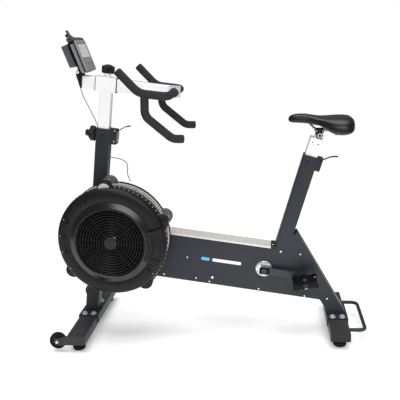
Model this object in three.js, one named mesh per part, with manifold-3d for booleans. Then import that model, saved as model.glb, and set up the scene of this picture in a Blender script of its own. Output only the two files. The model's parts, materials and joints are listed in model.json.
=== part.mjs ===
// Air bike: an upright exercise bike whose pedals drive a caged fan through two belts.
// Millimetres, +Z up, +X from the fan towards the saddle, +Y towards the rider's right.
// The origin is on the floor under the centre of the footprint.

import * as THREE from 'three';
import { mergeVertices } from 'three/addons/utils/BufferGeometryUtils.js';
import Module from 'manifold-3d';

const wasm = await Module();
wasm.setup();

// ---------------------------------------------------------------- driving dimensions

const DEG = Math.PI / 180;
const GAP = 0.3; // clearance between pieces that touch

const FOOT = {
  x: 539.5, width: 80, low: 34, high: 74, wall: 3, plug: 5, corner: 6, frontHalf: 266, rearHalf: 197,
};
const PAD = { radius: 26, inset: 38, rim: 14 };
const BRIDGE = { thickness: 3.5, halfWidth: 81, flange: 31, boltX: 20, boltY: 64 };

const LEAN = 8.5 * DEG; // the mast leans back, and the spine and top tube slope down, by this
const MAST_Z = FOOT.high + GAP + BRIDGE.thickness;
const POST = { depth: 58, width: 52, wall: 2, top: 826, corner: 5 };
const FRAME_WIDTH = 56; // spine, seat tube and rear leg, across the machine
const PLATE = 3; // spine sheet metal
const SPINE = { low: 211, high: 418.5, start: POST.depth / 2 + GAP, coverEnd: 749 };
const COVER = { width: 78, thickness: 3 };
const LEG = { lean: 29.25 * DEG, width: 74.4, rearX: 578 };
const SEAT = { lean: 17 * DEG, topX: 427.6, topZ: 763, depth: 60, wall: 3, corner: 5 };
const SEAT_POST = { depth: 50, width: 46, wall: 2.5, above: 74, below: 300 };

const SLIDER = { depth: 46, width: 44, wall: 2, low: 560 };
const TOP_TUBE = { centre: 1004.5, height: 50, width: 40, wall: 2, start: -98, end: 256 };
const SLEEVE = { halfLength: 42, wall: 4 };
const BAR = { radius: 16, halfWidth: 185, height: 1005, cross: 279, bend: 40 };

const FAN = { u: 102, w: 394, radius: 223, front: -179, back: -45, skin: 3 };
const FAN_LUGS = [94, 20, -55, -144].map((angle) => angle * DEG + LEAN);
const DIAL = { outer: 167, inner: 142, rise: 15, padOuter: 219 };
const CRANK = { x: 233, z: 282, length: 170, drop: 8.3 * DEG, armInner: 44, armThick: 13 };
const PEDAL = { length: 102, width: 92, height: 26, gap: 8, tilt: 9 * DEG };
const MIDDLE = { u: 400, w: 316 };
const PULLEY = { drive: 80, middleSmall: 20, middleBig: 50, fan: 18, width: 12, lane: 14 };
const BELT_THICKNESS = 2.5;

const WHEEL = { x: -620, z: 48, radius: 35, width: 22 };
const HANDLE = { halfWidth: 130, radius: 8, z: 54, reach: 647, bend: 28 };
const CONSOLE = { tilt: 18.5 * DEG, x: -468.4, z: 1188.6, width: 134, height: 127, depth: 33 };
const CONSOLE_PIN = { x: -501, z: 1124, radius: 8.5 };
const CABLE_RADIUS = 1.5;

// ---------------------------------------------------------------- materials

function material(color, roughness, metalness = 0) {
  return new THREE.MeshStandardMaterial({ color, roughness, metalness });
}

const paint = material(0x3d4046, 0.45, 0.3);
const silver = material(0xe6e7ea, 0.3, 0.5);
const shroud = material(0x2b2b2e, 0.5);
const meshMetal = material(0xa9a49c, 0.5, 0.6);
const coverMetal = material(0xd3cfc6, 0.45, 0.6);
const crankPaint = material(0x4b4b49, 0.45, 0.2);
const chrome = material(0xe2e4e8, 0.12, 1);
const steel = material(0x9b9da1, 0.35, 0.9);
const blackPlastic = material(0x17181a, 0.5);
const rubber = material(0x101011, 0.85);
const foam = material(0x2c2d31, 0.95);
const saddleCover = material(0x1b1c1f, 0.5);
const consoleShell = material(0x7d7f82, 0.45);
const consoleGlass = material(0xc3c6bf, 0.15);

// ---------------------------------------------------------------- solids

// A closed geometry keeps only merged positions, and turns its faces outwards.
function closed(geometry) {
  const copy = geometry.clone();
  copy.deleteAttribute('normal');
  copy.deleteAttribute('uv');
  const merged = mergeVertices(copy, 1e-4);
  if (signedVolume(merged) < 0) {
    merged.index.array.reverse();
  }
  return merged;
}

function signedVolume(geometry) {
  const position = geometry.attributes.position;
  const index = geometry.index.array;
  const a = new THREE.Vector3();
  const b = new THREE.Vector3();
  const c = new THREE.Vector3();
  let total = 0;
  for (let i = 0; i < index.length; i += 3) {
    a.fromBufferAttribute(position, index[i]);
    b.fromBufferAttribute(position, index[i + 1]);
    c.fromBufferAttribute(position, index[i + 2]);
    total += a.dot(b.cross(c)) / 6;
  }
  return total;
}

function toManifold(geometry) {
  const solid = closed(geometry);
  return new wasm.Manifold(new wasm.Mesh({
    numProp: 3,
    vertProperties: new Float32Array(solid.attributes.position.array),
    triVerts: new Uint32Array(solid.index.array),
  }));
}

function fromManifold(manifold) {
  const mesh = manifold.getMesh();
  const geometry = new THREE.BufferGeometry();
  geometry.setAttribute('position', new THREE.BufferAttribute(mesh.vertProperties, 3));
  geometry.setIndex(new THREE.BufferAttribute(mesh.triVerts, 1));
  return geometry;
}

function join(first, ...others) {
  return fromManifold(others.reduce((sum, g) => sum.add(toManifold(g)), toManifold(first)));
}

function cut(base, ...tools) {
  return fromManifold(tools.reduce((left, g) => left.subtract(toManifold(g)), toManifold(base)));
}

function box(x0, x1, y0, y1, z0, z1) {
  const geometry = new THREE.BoxGeometry(x1 - x0, y1 - y0, z1 - z0);
  return geometry.translate((x0 + x1) / 2, (y0 + y1) / 2, (z0 + z1) / 2);
}

function roundedRect(width, height, radius) {
  const shape = new THREE.Shape();
  const x = width / 2;
  const y = height / 2;
  shape.moveTo(-x + radius, -y);
  shape.absarc(x - radius, -y + radius, radius, -Math.PI / 2, 0);
  shape.absarc(x - radius, y - radius, radius, 0, Math.PI / 2);
  shape.absarc(-x + radius, y - radius, radius, Math.PI / 2, Math.PI);
  shape.absarc(-x + radius, -y + radius, radius, Math.PI, 1.5 * Math.PI);
  return shape;
}

function polygon(points) {
  return new THREE.Shape(points.map(([x, y]) => new THREE.Vector2(x, y)));
}

function extrude(shape, depth, curveSegments = 3) {
  return new THREE.ExtrudeGeometry(shape, { depth, curveSegments, bevelEnabled: false, steps: 1 });
}

// A rounded bar along Z, width along X and height along Y.
function barZ(width, height, radius, z0, z1) {
  return extrude(roundedRect(width, height, radius), z1 - z0).translate(0, 0, z0);
}

// A shape drawn in X and Z, given thickness from y0 to y1.
function slabY(shape, y0, y1, curveSegments = 3) {
  return extrude(shape, y1 - y0, curveSegments).rotateX(Math.PI / 2).translate(0, y1, 0);
}

function cylinderY(radius, y0, y1, x = 0, z = 0, sides = 20, radiusAtStart = radius) {
  const geometry = new THREE.CylinderGeometry(radius, radiusAtStart, y1 - y0, sides);
  return geometry.translate(x, (y0 + y1) / 2, z);
}

function cylinderZ(radius, z0, z1, x = 0, y = 0, sides = 20, radiusAtStart = radius) {
  const geometry = new THREE.CylinderGeometry(radius, radiusAtStart, z1 - z0, sides);
  return geometry.rotateX(Math.PI / 2).translate(x, y, (z0 + z1) / 2);
}

// A ring or dish turned about Y: the profile is a closed list of [radius, y].
function turned(profile, sides = 48) {
  const points = [...profile, profile[0]].map(([r, y]) => new THREE.Vector2(r, y));
  return new THREE.LatheGeometry(points, sides);
}

// A knob or boss turned about Z: the profile starts and ends on the axis.
function turnedZ(profile, sides = 20) {
  const points = profile.map(([r, z]) => new THREE.Vector2(r, z));
  return new THREE.LatheGeometry(points, sides).rotateX(Math.PI / 2);
}

// A round rod along a path of straight runs with rounded corners.
function bentRod(points, radius, bend, sides = 10, stepsPerBend = 4) {
  const corners = points.map((p) => new THREE.Vector3(...p));
  const route = [corners[0]];
  for (let i = 1; i < corners.length - 1; i += 1) {
    const into = corners[i - 1].clone().sub(corners[i]).normalize();
    const away = corners[i + 1].clone().sub(corners[i]).normalize();
    const half = into.angleTo(away) / 2;
    const start = corners[i].clone().addScaledVector(into, bend / Math.tan(half));
    const end = corners[i].clone().addScaledVector(away, bend / Math.tan(half));
    const arc = new THREE.QuadraticBezierCurve3(start, corners[i], end);
    route.push(...arc.getPoints(stepsPerBend));
  }
  route.push(corners[corners.length - 1]);
  return rodThrough(route, radius, sides);
}

// A round rod whose rings stand at each point of the route.
function rodThrough(route, radius, sides) {
  const sections = [];
  let normal = new THREE.Vector3(0, 1, 0);
  route.forEach((point, i) => {
    const before = route[Math.max(i - 1, 0)];
    const after = route[Math.min(i + 1, route.length - 1)];
    const tangent = after.clone().sub(before).normalize();
    if (i === 0 && Math.abs(tangent.y) > 0.9) {
      normal = new THREE.Vector3(0, 0, 1);
    }
    normal.addScaledVector(tangent, -normal.dot(tangent)).normalize();
    const side = tangent.clone().cross(normal);
    sections.push(Array.from({ length: sides }, (_, k) => {
      const angle = (2 * Math.PI * k) / sides;
      const ringPoint = point.clone().addScaledVector(normal, Math.cos(angle) * radius);
      return ringPoint.addScaledVector(side, Math.sin(angle) * radius).toArray();
    }));
  });
  return loft(sections);
}

function capRing(index, first, sides, reverse) {
  for (let k = 1; k < sides - 1; k += 1) {
    const [b, c] = reverse ? [k + 1, k] : [k, k + 1];
    index.push(first, first + b, first + c);
  }
}

function indexed(positions, index) {
  const geometry = new THREE.BufferGeometry();
  geometry.setAttribute('position', new THREE.Float32BufferAttribute(positions, 3));
  geometry.setIndex(index);
  return geometry;
}

// A skin over cross-sections with the same number of points, closed at both ends.
function loft(sections) {
  const sides = sections[0].length;
  const index = [];
  for (let i = 0; i < sections.length - 1; i += 1) {
    for (let k = 0; k < sides; k += 1) {
      const a = i * sides + k;
      const b = i * sides + ((k + 1) % sides);
      index.push(a, b, b + sides, a, b + sides, a + sides);
    }
  }
  capRing(index, 0, sides, true);
  capRing(index, (sections.length - 1) * sides, sides, false);
  return indexed(sections.flat(2), index);
}

// ---------------------------------------------------------------- scene graph

const airBike = new THREE.Group();
airBike.name = 'air_bike';

// The mast group: its X runs back along the spine and the top tube, its Z up the front post.
const mast = new THREE.Group();
mast.position.set(-FOOT.x, 0, MAST_Z);
mast.rotation.y = LEAN;
airBike.add(mast);

// The seat group: its Z runs up the seat tube from the tube's mouth.
const seat = new THREE.Group();
seat.position.set(SEAT.topX, 0, SEAT.topZ);
seat.rotation.y = SEAT.lean;
airBike.add(seat);

// The console group: its X is the way the display faces.
const consoleGroup = new THREE.Group();
consoleGroup.position.set(CONSOLE.x, 0, CONSOLE.z);
consoleGroup.rotation.y = -CONSOLE.tilt;
airBike.add(consoleGroup);

function add(parent, name, geometry, look) {
  const mesh = new THREE.Mesh(closed(geometry), look);
  mesh.name = name;
  parent.add(mesh);
  return mesh;
}

// A point of the machine's frame, as [along, up] in the mast group.
function inMast(x, z) {
  const dx = x + FOOT.x;
  const dz = z - MAST_Z;
  return [dx * Math.cos(LEAN) - dz * Math.sin(LEAN), dx * Math.sin(LEAN) + dz * Math.cos(LEAN)];
}

const [crankU, crankW] = inMast(CRANK.x, CRANK.z);

// ---------------------------------------------------------------- feet

// A hollow beam with a plug at each end and a drain hole underneath.
function footBeam(x, halfLength) {
  const { low, high, width, corner, wall, plug } = FOOT;
  const height = high - low;
  const outer = slabY(roundedRect(width, height, corner), -halfLength, halfLength);
  const inside = slabY(
    roundedRect(width - 2 * wall, height - 2 * wall, corner - wall), plug - halfLength, halfLength - plug,
  );
  const drain = cylinderZ(4, -height, 0, 0, 0, 10);
  return cut(outer, inside, drain).translate(x, 0, (low + high) / 2);
}

// The end plate closes the foot beam and reaches forward to carry the transport wheel.
function wheelEar(side) {
  const plate = 4;
  const eye = 15;
  const shape = new THREE.Shape();
  shape.moveTo(-FOOT.x + FOOT.width / 2, FOOT.low);
  shape.lineTo(-FOOT.x + FOOT.width / 2, FOOT.high);
  shape.lineTo(-FOOT.x - FOOT.width / 2, FOOT.high);
  shape.absarc(WHEEL.x, WHEEL.z, eye, 0.5 * Math.PI, 1.5 * Math.PI);
  shape.lineTo(WHEEL.x + 8, FOOT.low - 2);
  shape.lineTo(-FOOT.x - FOOT.width / 2, FOOT.low);
  const outer = side * FOOT.frontHalf;
  const [y0, y1] = [outer - side * plate, outer].sort((a, b) => a - b);
  return slabY(shape, y0, y1, 6);
}

function wheelAxle(side) {
  const outer = side * (FOOT.frontHalf + 4);
  const inner = side * (FOOT.frontHalf - WHEEL.width - 6);
  const [y0, y1] = [outer, inner].sort((a, b) => a - b);
  const head = [side * FOOT.frontHalf, outer].sort((a, b) => a - b);
  return join(
    cylinderY(4, y0, y1, WHEEL.x, WHEEL.z, 12),
    cylinderY(7, head[0], head[1], WHEEL.x, WHEEL.z, 12),
  );
}

const frontBeam = footBeam(-FOOT.x, FOOT.frontHalf);
add(airBike, 'front_foot', join(
  frontBeam, wheelEar(-1), wheelEar(1), wheelAxle(-1), wheelAxle(1),
), paint);
add(airBike, 'rear_foot', footBeam(FOOT.x, FOOT.rearHalf), paint);

function transportWheel(side) {
  const centre = side * (FOOT.frontHalf - 4 - 1.5 - WHEEL.width / 2);
  const half = WHEEL.width / 2;
  const tyre = 4;
  const profile = [
    [5, -half], [15, -half], [18, -half + 4], [26, -half + 4],
    [WHEEL.radius - tyre, -half], [WHEEL.radius, -half + tyre],
    [WHEEL.radius, half - tyre], [WHEEL.radius - tyre, half],
    [26, half - 4], [18, half - 4], [15, half], [5, half],
  ];
  return turned(profile, 18).translate(WHEEL.x, centre, WHEEL.z);
}

// The rubber pad has a threaded stud up to the beam.
function footPad(x, y) {
  const profile = [
    [0, 0], [PAD.radius - 6, 0], [PAD.radius, 6], [PAD.radius, PAD.rim],
    [PAD.radius - 4, PAD.rim + 8], [PAD.radius - 4, FOOT.low - GAP], [0, FOOT.low - GAP],
  ];
  return turnedZ(profile, 20).translate(x, y, 0);
}

for (const [side, label] of [[-1, 'left'], [1, 'right']]) {
  add(airBike, `transport_wheel_${label}`, transportWheel(side), blackPlastic);
  const frontY = side * (FOOT.frontHalf - PAD.inset);
  const rearY = side * (FOOT.rearHalf - PAD.inset);
  add(airBike, `foot_pad_front_${label}`, footPad(-FOOT.x, frontY), rubber);
  add(airBike, `foot_pad_rear_${label}`, footPad(FOOT.x, rearY), rubber);
}

// The bridge plate straddles the beam, with its four hexagon bolts.
function footBridge(x) {
  const half = FOOT.width / 2 + GAP;
  const { thickness, halfWidth, flange, boltX, boltY } = BRIDGE;
  const low = FOOT.high + GAP;
  const channel = cut(
    box(x - half - thickness, x + half + thickness, -halfWidth, halfWidth, low - flange, low + thickness),
    box(x - half, x + half, -halfWidth - 1, halfWidth + 1, low - flange - 1, low),
  );
  const bolts = [-1, 1].flatMap((sx) => [-1, 1].map((sy) => (
    cylinderZ(9, low + 1, low + thickness + 8, x + sx * boltX, sy * boltY, 6)
  )));
  return join(channel, ...bolts);
}

add(airBike, 'front_foot_bridge', footBridge(-FOOT.x), paint);
add(airBike, 'rear_foot_bridge', footBridge(FOOT.x), paint);

const handleStart = FOOT.x + FOOT.width / 2 + GAP;
add(airBike, 'lift_handle', bentRod([
  [handleStart, -HANDLE.halfWidth, HANDLE.z],
  [HANDLE.reach, -HANDLE.halfWidth, HANDLE.z],
  [HANDLE.reach, HANDLE.halfWidth, HANDLE.z],
  [handleStart, HANDLE.halfWidth, HANDLE.z],
], HANDLE.radius, HANDLE.bend, 10, 4), paint);

// ---------------------------------------------------------------- front post

// Removes everything below the level plane through the mast group's origin.
const belowMast = box(-200, 200, -200, 200, -200, GAP).rotateY(-LEAN);

const CLAMP = { low: 764, depth: 28, halfWidth: 21, pinU: 50, pinW: 812 };

function frontPost() {
  const tube = cut(
    barZ(POST.depth, POST.width, POST.corner, -20, POST.top),
    barZ(POST.depth - 2 * POST.wall, POST.width - 2 * POST.wall, POST.corner - POST.wall, -30, POST.top + 1),
    belowMast,
  );
  const back = POST.depth / 2;
  const housing = box(back - 1, back + CLAMP.depth, -CLAMP.halfWidth, CLAMP.halfWidth, CLAMP.low, POST.top);
  const leverSlot = box(back + 8, back + CLAMP.depth + 1, -7, 7, CLAMP.pinW - 14, POST.top + 1);
  return join(tube, cut(housing, leverSlot));
}

add(mast, 'front_post', frontPost(), paint);

// A flat cam lever on a cross pin: a strap that rises, then levels out into its grip.
function camLever(pinX, pinZ, rise, turn, length) {
  const cam = cylinderY(6, -6, 6, 0, 0, 14);
  const strap = box(0, length, -4, 4, -2, 2);
  const grip = box(-1, length * 0.6, -5, 5, -2.5, 2.5).rotateY(turn).translate(length, 0, 0);
  return join(cam, strap, grip).rotateY(-rise).translate(pinX, 0, pinZ);
}

const POST_LEVER = { length: 42, rise: 30 * DEG + LEAN, turn: 16 * DEG };
add(mast, 'post_lever', camLever(
  CLAMP.pinU, CLAMP.pinW, POST_LEVER.rise, POST_LEVER.turn, POST_LEVER.length,
), blackPlastic);

// Lobed knob about Z, with its stem down to z = 0.
function starKnob(radius, stem, height, lobes) {
  const shape = new THREE.Shape();
  const steps = lobes * 8;
  for (let i = 0; i < steps; i += 1) {
    const angle = (2 * Math.PI * i) / steps;
    const r = radius * (0.9 + 0.1 * Math.cos(lobes * angle));
    shape[i ? 'lineTo' : 'moveTo'](r * Math.cos(angle), r * Math.sin(angle));
  }
  const head = extrude(shape, height).translate(0, 0, stem);
  const collar = cylinderZ(radius * 0.45, 0, stem + 1, 0, 0, 16);
  const dome = turnedZ([
    [0, stem], [radius * 0.7, stem], [radius * 0.6, stem + height + 4], [0, stem + height + 6],
  ]);
  return join(head, collar, dome);
}

const POST_KNOB = { radius: 32, stem: 6, height: 26, capRadius: 14, reach: 48, w: 797 };
const popPin = join(
  starKnob(POST_KNOB.radius, POST_KNOB.stem, POST_KNOB.height, 6),
  cylinderZ(POST_KNOB.capRadius, POST_KNOB.stem + POST_KNOB.height, POST_KNOB.reach, 0, 0, 20),
);
add(mast, 'post_knob',
  popPin.rotateY(-Math.PI / 2).translate(-POST.depth / 2 - GAP, 0, POST_KNOB.w), blackPlastic);

// ---------------------------------------------------------------- spine and rear leg

function legPoint(along, across) {
  const x = LEG.rearX - along * Math.sin(LEG.lean) - across;
  return inMast(x, MAST_Z + GAP + along * Math.cos(LEG.lean));
}

// How far up the leg its rear (across = 0) or front edge meets a level of the mast group.
function legReach(level, across) {
  const [, start] = legPoint(0, across);
  const [, next] = legPoint(1, across);
  return (level - start) / (next - start);
}

function spineOutline(inset = 0) {
  const low = SPINE.low + inset;
  const high = SPINE.high - inset;
  const rear = inset * 1.15;
  const front = LEG.width - inset * 1.15;
  return [
    [SPINE.start + inset, low],
    [SPINE.start + inset, high],
    legPoint(legReach(high, rear), rear),
    legPoint(inset, rear),
    legPoint(inset, front),
    legPoint(legReach(low, front), front),
  ];
}

function sidePlate(y0, y1) {
  const blank = slabY(polygon(spineOutline()), y0, y1);
  return cut(
    blank,
    cylinderY(9, y0 - 1, y1 + 1, FAN.u, FAN.w, 20),
    cylinderY(22 + GAP, y0 - 1, y1 + 1, crankU, crankW, 24),
  );
}

const plateOuter = FRAME_WIDTH / 2;
const plateInner = plateOuter - PLATE;
add(mast, 'spine_left_plate', sidePlate(-plateOuter, -plateInner), paint);
add(mast, 'spine_right_plate', sidePlate(plateInner, plateOuter), paint);

// The channel between the plates closes the front, underside and leg; its top is open.
function spineChannel() {
  const half = plateInner - GAP;
  const wall = 2.5;
  const outer = slabY(polygon(spineOutline()), -half, half);
  const inner = slabY(polygon(spineOutline(wall)), -half - 1, half + 1);
  const topOpening = box(
    SPINE.start + wall, SPINE.coverEnd, -half - 1, half + 1, SPINE.high - 10, SPINE.high + 1,
  );
  return cut(outer, inner, topOpening);
}

add(mast, 'spine_channel', spineChannel(), paint);

// The light top cover has a turned-down lip along each side.
function topCover() {
  const low = SPINE.high + GAP;
  const half = COVER.width / 2;
  const start = SPINE.start + 1;
  const blank = box(start, SPINE.coverEnd, -half, half, low - 5, low + COVER.thickness);
  const under = box(start - 1, SPINE.coverEnd + 1, -half + 2, half - 2, low - 6, low);
  return cut(blank, under);
}

add(mast, 'spine_top_cover', topCover(), coverMetal);

// ---------------------------------------------------------------- seat tube

function seatPoint(x, z) {
  const dx = x - SEAT.topX;
  const dz = z - SEAT.topZ;
  return [
    dx * Math.cos(SEAT.lean) - dz * Math.sin(SEAT.lean),
    dx * Math.sin(SEAT.lean) + dz * Math.cos(SEAT.lean),
  ];
}

function fromMast(u, w) {
  return [
    -FOOT.x + u * Math.cos(LEAN) + w * Math.sin(LEAN),
    MAST_Z - u * Math.sin(LEAN) + w * Math.cos(LEAN),
  ];
}

const SEAT_CLAMP = { low: -54, high: 2, depth: 20, halfWidth: 20, pinP: 44, pinS: -12 };

// The tube and its gusset stand on a base plate that closes the spine's top behind the cover.
function seatTube() {
  const half = FRAME_WIDTH / 2;
  const baseLow = SPINE.high + GAP;
  const tubeLength = 440;
  const outer = barZ(SEAT.depth, FRAME_WIDTH, SEAT.corner, -tubeLength, 0);
  const inner = barZ(
    SEAT.depth - 2 * SEAT.wall, FRAME_WIDTH - 2 * SEAT.wall, SEAT.corner - SEAT.wall, -tubeLength - 1, 1,
  );
  const [baseRearU] = legPoint(legReach(baseLow, 0), 0);
  const [frontX, frontZ] = fromMast(SPINE.coverEnd + 1, baseLow);
  const [rearX, rearZ] = fromMast(baseRearU, baseLow);
  const apexZ = 443; // where the gusset's rear edge, in line with the leg, meets the tube
  const apexX = LEG.rearX - (apexZ - MAST_Z - GAP) * Math.tan(LEG.lean);
  const gusset = polygon([
    seatPoint(frontX, frontZ),
    seatPoint(frontX, frontZ + 4),
    seatPoint(frontX + 22, frontZ + 0.5),
    seatPoint(apexX - 30, apexZ - 20),
    seatPoint(apexX, apexZ),
    seatPoint(rearX, rearZ),
  ]);
  const belowBase = box(-900, 900, -200, 200, -400, baseLow)
    .rotateY(LEAN).translate(-FOOT.x - SEAT.topX, 0, MAST_Z - SEAT.topZ).rotateY(-SEAT.lean);
  const housing = box(
    SEAT.depth / 2 - 1, SEAT.depth / 2 + SEAT_CLAMP.depth,
    -SEAT_CLAMP.halfWidth, SEAT_CLAMP.halfWidth, SEAT_CLAMP.low, SEAT_CLAMP.high,
  );
  const leverSlot = box(
    SEAT.depth / 2 + 5, SEAT.depth / 2 + SEAT_CLAMP.depth + 1,
    -7, 7, SEAT_CLAMP.pinS - 12, SEAT_CLAMP.high + 1,
  );
  const solid = join(outer, slabY(gusset, -half, half), cut(housing, leverSlot));
  return cut(solid, inner, belowBase);
}

add(seat, 'seat_tube', seatTube(), paint);

const SEAT_LEVER = { length: 44, rise: 22 * DEG + SEAT.lean, turn: 18 * DEG };
add(seat, 'seat_lever', camLever(
  SEAT_CLAMP.pinP, SEAT_CLAMP.pinS, SEAT_LEVER.rise, SEAT_LEVER.turn, SEAT_LEVER.length,
), blackPlastic);

// ---------------------------------------------------------------- seat post, clamp and saddle

const TILT = { x: 459, z: 846, pin: 9, cheek: 13 };
const RAIL_BRIDGE = { halfLength: 16, low: 10, high: 14 }; // above the tilt pin
const [tiltP, tiltS] = seatPoint(TILT.x, TILT.z);

// The post carries a cross pin on a neck; the saddle clamp turns on it.
function seatPost() {
  const { depth, width, wall, below, above } = SEAT_POST;
  const tube = cut(
    barZ(depth, width, 4, -below, above),
    barZ(depth - 2 * wall, width - 2 * wall, 4 - wall, -below - 1, above - 4),
  );
  const shoulder = barZ(depth - 22, 26, 6, above - 1, tiltS - 2);
  const pin = cylinderY(TILT.pin, -32, 32, tiltP, tiltS, 20);
  return join(tube, shoulder.translate(tiltP / 2, 0, 0), pin);
}

add(seat, 'seat_post', seatPost(), silver);

// Two cheeks on the pin carry a bridge that grips the rails.
function saddleClamp() {
  const cheeks = [[-29, -15], [15, 29]].map(([y0, y1]) => cylinderY(TILT.cheek, y0, y1, TILT.x, TILT.z, 20));
  const { halfLength, low, high } = RAIL_BRIDGE;
  const bridge = box(TILT.x - halfLength, TILT.x + halfLength, -29, 29, TILT.z + low, TILT.z + high);
  const body = join(cheeks[0], bridge, cheeks[1]);
  return cut(
    body,
    cylinderY(TILT.pin + GAP, -30, 30, TILT.x, TILT.z, 20),
    box(TILT.x - 30, TILT.x + 30, -15, 15, TILT.z - 30, TILT.z + low),
  );
}

add(airBike, 'saddle_clamp', saddleClamp(), blackPlastic);

const RAIL = { radius: 3.5, y: 22, z: TILT.z + RAIL_BRIDGE.high + GAP + 3.5, noseRise: 30 };

// One wire bent round under the nose, with both ends under the rear shell.
add(airBike, 'saddle_rails', bentRod([
  [522, -60, RAIL.z - 8],
  [498, -RAIL.y, RAIL.z],
  [449, -RAIL.y, RAIL.z],
  [417, -9, RAIL.z + RAIL.noseRise],
  [417, 9, RAIL.z + RAIL.noseRise],
  [449, RAIL.y, RAIL.z],
  [498, RAIL.y, RAIL.z],
  [522, 60, RAIL.z - 8],
], RAIL.radius, 7, 8, 2), steel);

// Half-width, top, edge and underside of the saddle at stations from nose to tail.
const SADDLE_STATIONS = [
  [338, 10, 916, 908, 902], [346, 19, 926, 910, 898], [366, 24, 931, 911, 896],
  [402, 28, 931, 908, 894], [430, 38, 926, 903, 889], [457, 54, 921.5, 895, 882],
  [485, 76, 920, 884, 866], [515, 92, 921, 872, 851], [546, 97, 921.5, 867, 848],
  [572, 90, 919, 868, 853], [586, 72, 912, 876, 862], [592, 50, 903, 882, 872],
];
const SADDLE_SIDES = 16;

// A cross-section at x: rounder above its widest level than below it.
function saddleRing([x, half, top, edge, under]) {
  return Array.from({ length: SADDLE_SIDES }, (_, k) => {
    const angle = (2 * Math.PI * k) / SADDLE_SIDES;
    const side = Math.sign(Math.cos(angle)) * Math.abs(Math.cos(angle)) ** 0.7;
    const rise = Math.sin(angle);
    const height = rise >= 0 ? (top - edge) * rise ** 0.8 : (edge - under) * rise;
    return [x, half * side, edge + height];
  });
}

// The shell is open underneath, so the rails run up inside its skirt.
function saddle() {
  const skirt = 6;
  const ceiling = RAIL.z + RAIL.noseRise + 6;
  const hollow = SADDLE_STATIONS.slice(3, -2).map(([x, half, , , under]) => {
    const y = half - skirt;
    return [[x, -y, under - 20], [x, y, under - 20], [x, y * 0.8, ceiling], [x, -y * 0.8, ceiling]];
  });
  return cut(loft(SADDLE_STATIONS.map(saddleRing)), loft(hollow));
}

add(airBike, 'saddle', saddle(), saddleCover);

// ---------------------------------------------------------------- handlebar post and bars

const sleeveHalfHeight = TOP_TUBE.height / 2 + SLEEVE.wall;

// The sliding post ends in a sleeve that the top tube slides through.
function handlebarPost() {
  const { depth, width, wall, low } = SLIDER;
  const slider = cut(
    barZ(depth, width, 4, low, TOP_TUBE.centre - sleeveHalfHeight + 1),
    barZ(depth - 2 * wall, width - 2 * wall, 4 - wall, low - 1, TOP_TUBE.centre - sleeveHalfHeight - 4),
  );
  const sleeveWidth = TOP_TUBE.width / 2 + SLEEVE.wall;
  const outer = box(
    -SLEEVE.halfLength, SLEEVE.halfLength, -sleeveWidth, sleeveWidth,
    TOP_TUBE.centre - sleeveHalfHeight, TOP_TUBE.centre + sleeveHalfHeight,
  );
  const bore = box(
    -SLEEVE.halfLength - 1, SLEEVE.halfLength + 1, -TOP_TUBE.width / 2 - 0.5, TOP_TUBE.width / 2 + 0.5,
    TOP_TUBE.centre - TOP_TUBE.height / 2 - 0.5, TOP_TUBE.centre + TOP_TUBE.height / 2 + 0.5,
  );
  return join(slider, cut(outer, bore));
}

add(mast, 'handlebar_post', handlebarPost(), silver);

const REACH_KNOB = { radius: 27, stem: 14, height: 30, u: 1 };
add(mast, 'reach_knob', starKnob(REACH_KNOB.radius, REACH_KNOB.stem, REACH_KNOB.height, 6)
  .translate(REACH_KNOB.u, 0, TOP_TUBE.centre + sleeveHalfHeight + GAP), blackPlastic);

function topTube() {
  const { height, width, wall, start, end, centre } = TOP_TUBE;
  const section = roundedRect(height, width, 4);
  section.holes.push(roundedRect(height - 2 * wall, width - 2 * wall, 4 - wall));
  return extrude(section, end - start).rotateY(Math.PI / 2).translate(start, 0, centre);
}

add(mast, 'top_tube', topTube(), silver);

// The clamp caps the tube's end and folds over the handlebar's crossbar.
function barClamp() {
  const half = TOP_TUBE.width / 2;
  const high = TOP_TUBE.centre + TOP_TUBE.height / 2;
  const start = TOP_TUBE.end + GAP;
  const rear = BAR.cross + BAR.radius + 4;
  const block = box(start, rear, -half, half, BAR.height - BAR.radius - 1, high);
  return cut(block, cylinderY(BAR.radius + GAP, -half - 1, half + 1, BAR.cross, BAR.height, 20));
}

add(mast, 'bar_clamp', barClamp(), silver);

// Corners of the drop: down from the level run, then back to a level grip.
const BAR_DROP = [[-201, 1040], [-205, 961], [-103, 872], [-63, 871]];
const HORN = { tip: 84, rise: 71, foot: 170, bend: 70, overlap: 16 };

// Each side has a level run, a raised horn at its front and a drop with a level end.
function handlebar() {
  const h = BAR.height;
  const levelStart = HORN.foot + HORN.overlap;
  const parts = [bentRod([
    [levelStart, -BAR.halfWidth, h], [BAR.cross, -BAR.halfWidth, h],
    [BAR.cross, BAR.halfWidth, h], [levelStart, BAR.halfWidth, h],
  ], BAR.radius, BAR.bend, 12, 3)];
  for (const side of [-1, 1]) {
    const y = side * BAR.halfWidth;
    const drop = BAR_DROP.map(([x, z]) => inMast(x, z)).map(([u, w]) => [u, y, w]);
    parts.push(
      bentRod([
        [HORN.tip, y, h + HORN.rise], [HORN.foot, y, h], [HORN.foot + 2 * HORN.overlap, y, h],
      ], BAR.radius, HORN.bend, 12, 2),
      bentRod(drop, BAR.radius, 45, 12, 3),
    );
  }
  return join(...parts);
}

add(mast, 'handlebar', handlebar(), foam);

// ---------------------------------------------------------------- console

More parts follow.
